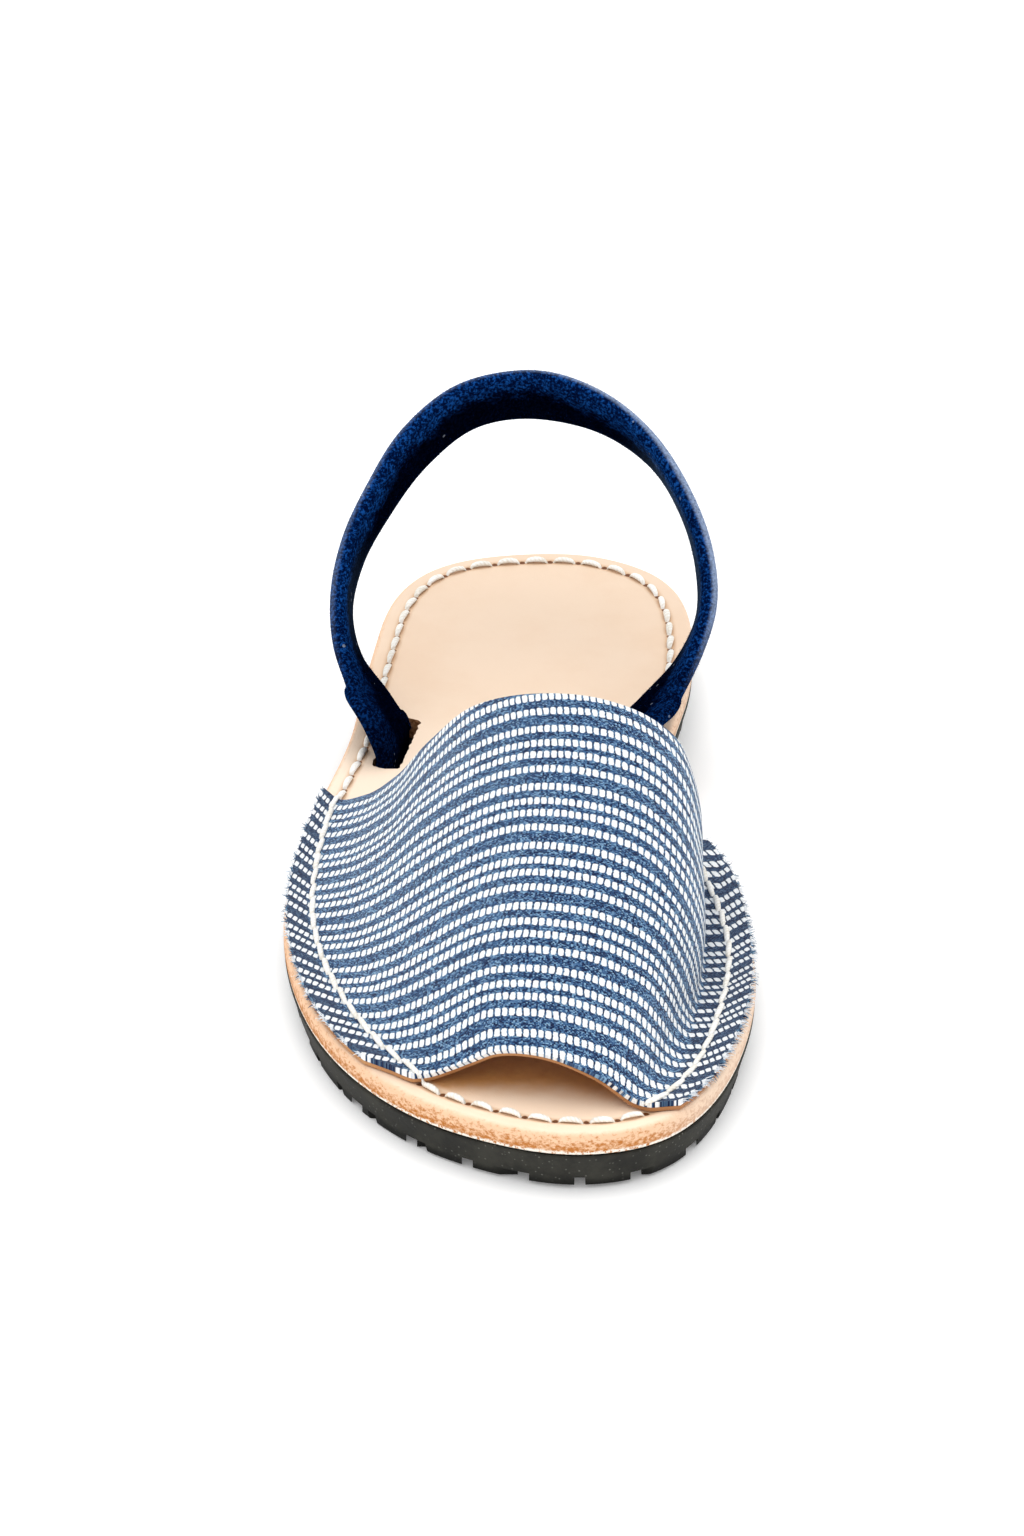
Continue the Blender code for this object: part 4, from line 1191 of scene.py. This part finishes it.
# nap: short fibres standing off the suede, each a thin blade, root inside the strap
def buildNap():
    dice = np.random.default_rng(5)
    ring = strapSurface()[0]
    samples, sides = ring.shape[:2]
    count = napPiece["fibres"]
    normal = unit(np.cross(np.roll(ring, -1, 1) - np.roll(ring, 1, 1), np.gradient(ring, axis=0)))
    away = ring - ring.mean(1, keepdims=True)
    normal *= np.sign(np.sum(normal * away, -1))[..., None]
    i = dice.integers(napPiece["ends"], samples - napPiece["ends"], count)
    j = dice.integers(0, sides, count)
    blend = dice.uniform(0, 1, (count, 1))
    root = ring[i, j] * (1 - blend) + ring[i, (j + 1) % sides] * blend
    up = unit(normal[i, j] + dice.normal(0, napPiece["stray"], (count, 3)))
    long = dice.uniform(*napPiece["long"], (count, 1))
    side = unit(np.cross(up, dice.normal(0, 1, (count, 3)))) * napPiece["half"]
    base = root - normal[i, j] * napPiece["rooted"]
    points = np.stack([base + side, base - side, base + np.cross(side, up), root + up * long], 1)
    blade = np.array([[0, 1, 3], [1, 2, 3], [2, 0, 3], [0, 2, 1]])
    faces = (blade[None] + (np.arange(count) * 4)[:, None, None]).reshape(-1, 3)
    item = makeMesh("suedeNap", points, faces)
    cleanMesh(item, 1e-9)
    setValue(item, "tone", np.repeat(dice.uniform(0, 1, count), 4))
    return item


# painted shade and light: dark over the inside and low down where shade falls, lit toward the
# upper edge and where the band is seen edge on; both bounds wander, the lit part broken into specks
def suedeMaterial():
    b = newMaterial("navySuede", Specular_IOR_Level=0.0)
    tone = strapPiece
    place = b.objectPlace()
    nap = b.noise(place, 260.0, 6.0, 0.75)
    brushed = b.noise(place, 55.0, 4.0, 0.6)
    fine = b.noise(place, 1500.0, 3.0, 0.75)
    up = b.split(b.uvPlace("nap"))[1]
    x, _, high = b.split(place)
    stand = up + (brushed - 0.5) * 11.0 + (nap - 0.5) * 7.0
    lit = b.math("MAXIMUM", b.spread(stand, 0.5, 5.5), b.spread(b.value("edge"), 0.20, 0.85))
    lit = lit * b.spread(high, 15 * mm, 40 * mm, 0.15, 1.0)
    speck = fine * 1.02 + nap * 0.28
    colour = b.mix(lit * 0.75, tone["deep"], tone["navy"])
    colour = b.mix(b.spread(speck, 0.60, 0.78) * (lit * 0.95 + 0.05), colour, tone["lit"])
    # painted sheen: paler where the suede is seen at a grazing angle, on its upper part only
    facing = b.fed("ShaderNodeLayerWeight", {"Blend": 0.28}, "Facing")
    grazingSheen = b.spread(facing, 0.45, 1.0) * b.spread(speck, 0.35, 0.75) * b.spread(high, 20 * mm, 45 * mm)
    colour = b.mix(grazingSheen * 0.55, colour, tone["pale"])
    # painted highlight: a pale rim of light on the upper edge's outer half, mostly on the right band
    rimHighlight = b.spread(b.value("outer"), -0.10, 0.55) * b.spread(up, 3.5, 6.5)
    rimHighlight = rimHighlight * b.spread(high, 24 * mm, 44 * mm) * b.spread(x, -10 * mm, 28 * mm, 0.30, 1.0)
    rimHighlight = rimHighlight * b.spread(speck, 0.40, 0.80, 0.45, 0.95)
    colour = b.mix(rimHighlight, colour, tone["rimHighlight"])
    lint = b.group(lightSpecks, Place=place, Scale=800.0, Amount=0.012)["Mask"]
    colour = b.mix(lint * 0.6, colour, tone["lint"])
    return b.paint(colour, 0.95, nap + fine * 1.2, 0.35 * mm, 0.9)


def napMaterial():
    b = newMaterial("suedeNapFibre", Specular_IOR_Level=0.0)
    return b.paint(b.mix(b.value("tone"), strapPiece["navy"], strapPiece["lit"]), 0.95)


finishPiece(buildStrap(), suedeMaterial(), "heel_strap")
finishPiece(buildNap(), napMaterial())
print("strap done")

# lamps: place, width, power, colour
studio = {
    "lens": 188.46, "distance": 1.723, "elevation": 29.0, "aim": (-1.3 * mm, 26.6 * mm, 12.7 * mm),
    "floor": (0.96, 0.96, 0.96), "floorHalf": 4.0, "floorDrop": 1e-4, "floorGlow": 0.12, "world": 0.88,
    "lamps": {"topPanel": ((-0.05, 0.30, 1.30), 1.50, 5.5, (1.0, 0.99, 0.97)),
              "frontPanel": ((-0.20, -1.1, 1.0), 1.0, 2.5, (1.0, 1.0, 1.0))},
}


def buildStudio():
    scene = bpy.context.scene
    scene.view_settings.view_transform = "Standard"
    scene.view_settings.look = "Medium High Contrast"
    camera = bpy.data.objects.new("photoCamera", bpy.data.cameras.new("photoCamera"))
    scene.collection.objects.link(camera)
    camera.data.lens = studio["lens"]
    camera.data.sensor_width = 36.0
    camera.data.clip_end = 20.0
    tilt = math.radians(studio["elevation"])
    x, y, z = studio["aim"]
    camera.location = (x, y - studio["distance"] * math.cos(tilt), z + studio["distance"] * math.sin(tilt))
    camera.rotation_euler = (math.pi / 2 - tilt, 0.0, 0.0)
    scene.camera = camera
    half, drop = studio["floorHalf"], studio["floorDrop"]
    corners = [(-half, -half, -drop), (half, -half, -drop), (half, half, -drop), (-half, half, -drop)]
    floor = makeMesh("studioFloor", corners, [(0, 1, 2, 3)])
    b = newMaterial("paleFloor", Specular_IOR_Level=0.2, Emission_Strength=studio["floorGlow"])
    shade = tuple(c * 0.985 for c in studio["floor"])
    cloud = b.noise(b.objectPlace(), 3.0, 3.0, 0.5)
    floor.data.materials.append(b.paint(b.mix(cloud, studio["floor"], shade), 0.6))
    world = bpy.data.worlds.new("whiteStudio")
    world.use_nodes = True
    world.node_tree.nodes["Background"].inputs[0].default_value = (1.0, 1.0, 1.0, 1.0)
    world.node_tree.nodes["Background"].inputs[1].default_value = studio["world"]
    scene.world = world
    for name, (place, width, power, colour) in studio["lamps"].items():
        lamp = bpy.data.lights.new(name, "AREA")
        lamp.size, lamp.energy, lamp.color = width, power, colour
        item = bpy.data.objects.new(name, lamp)
        scene.collection.objects.link(item)
        item.location = place
        x, y, z = place
        item.rotation_euler = (math.acos(z / math.hypot(x, y, z)), 0.0, math.atan2(y, x) + math.pi / 2)


buildStudio()
print("studio done")
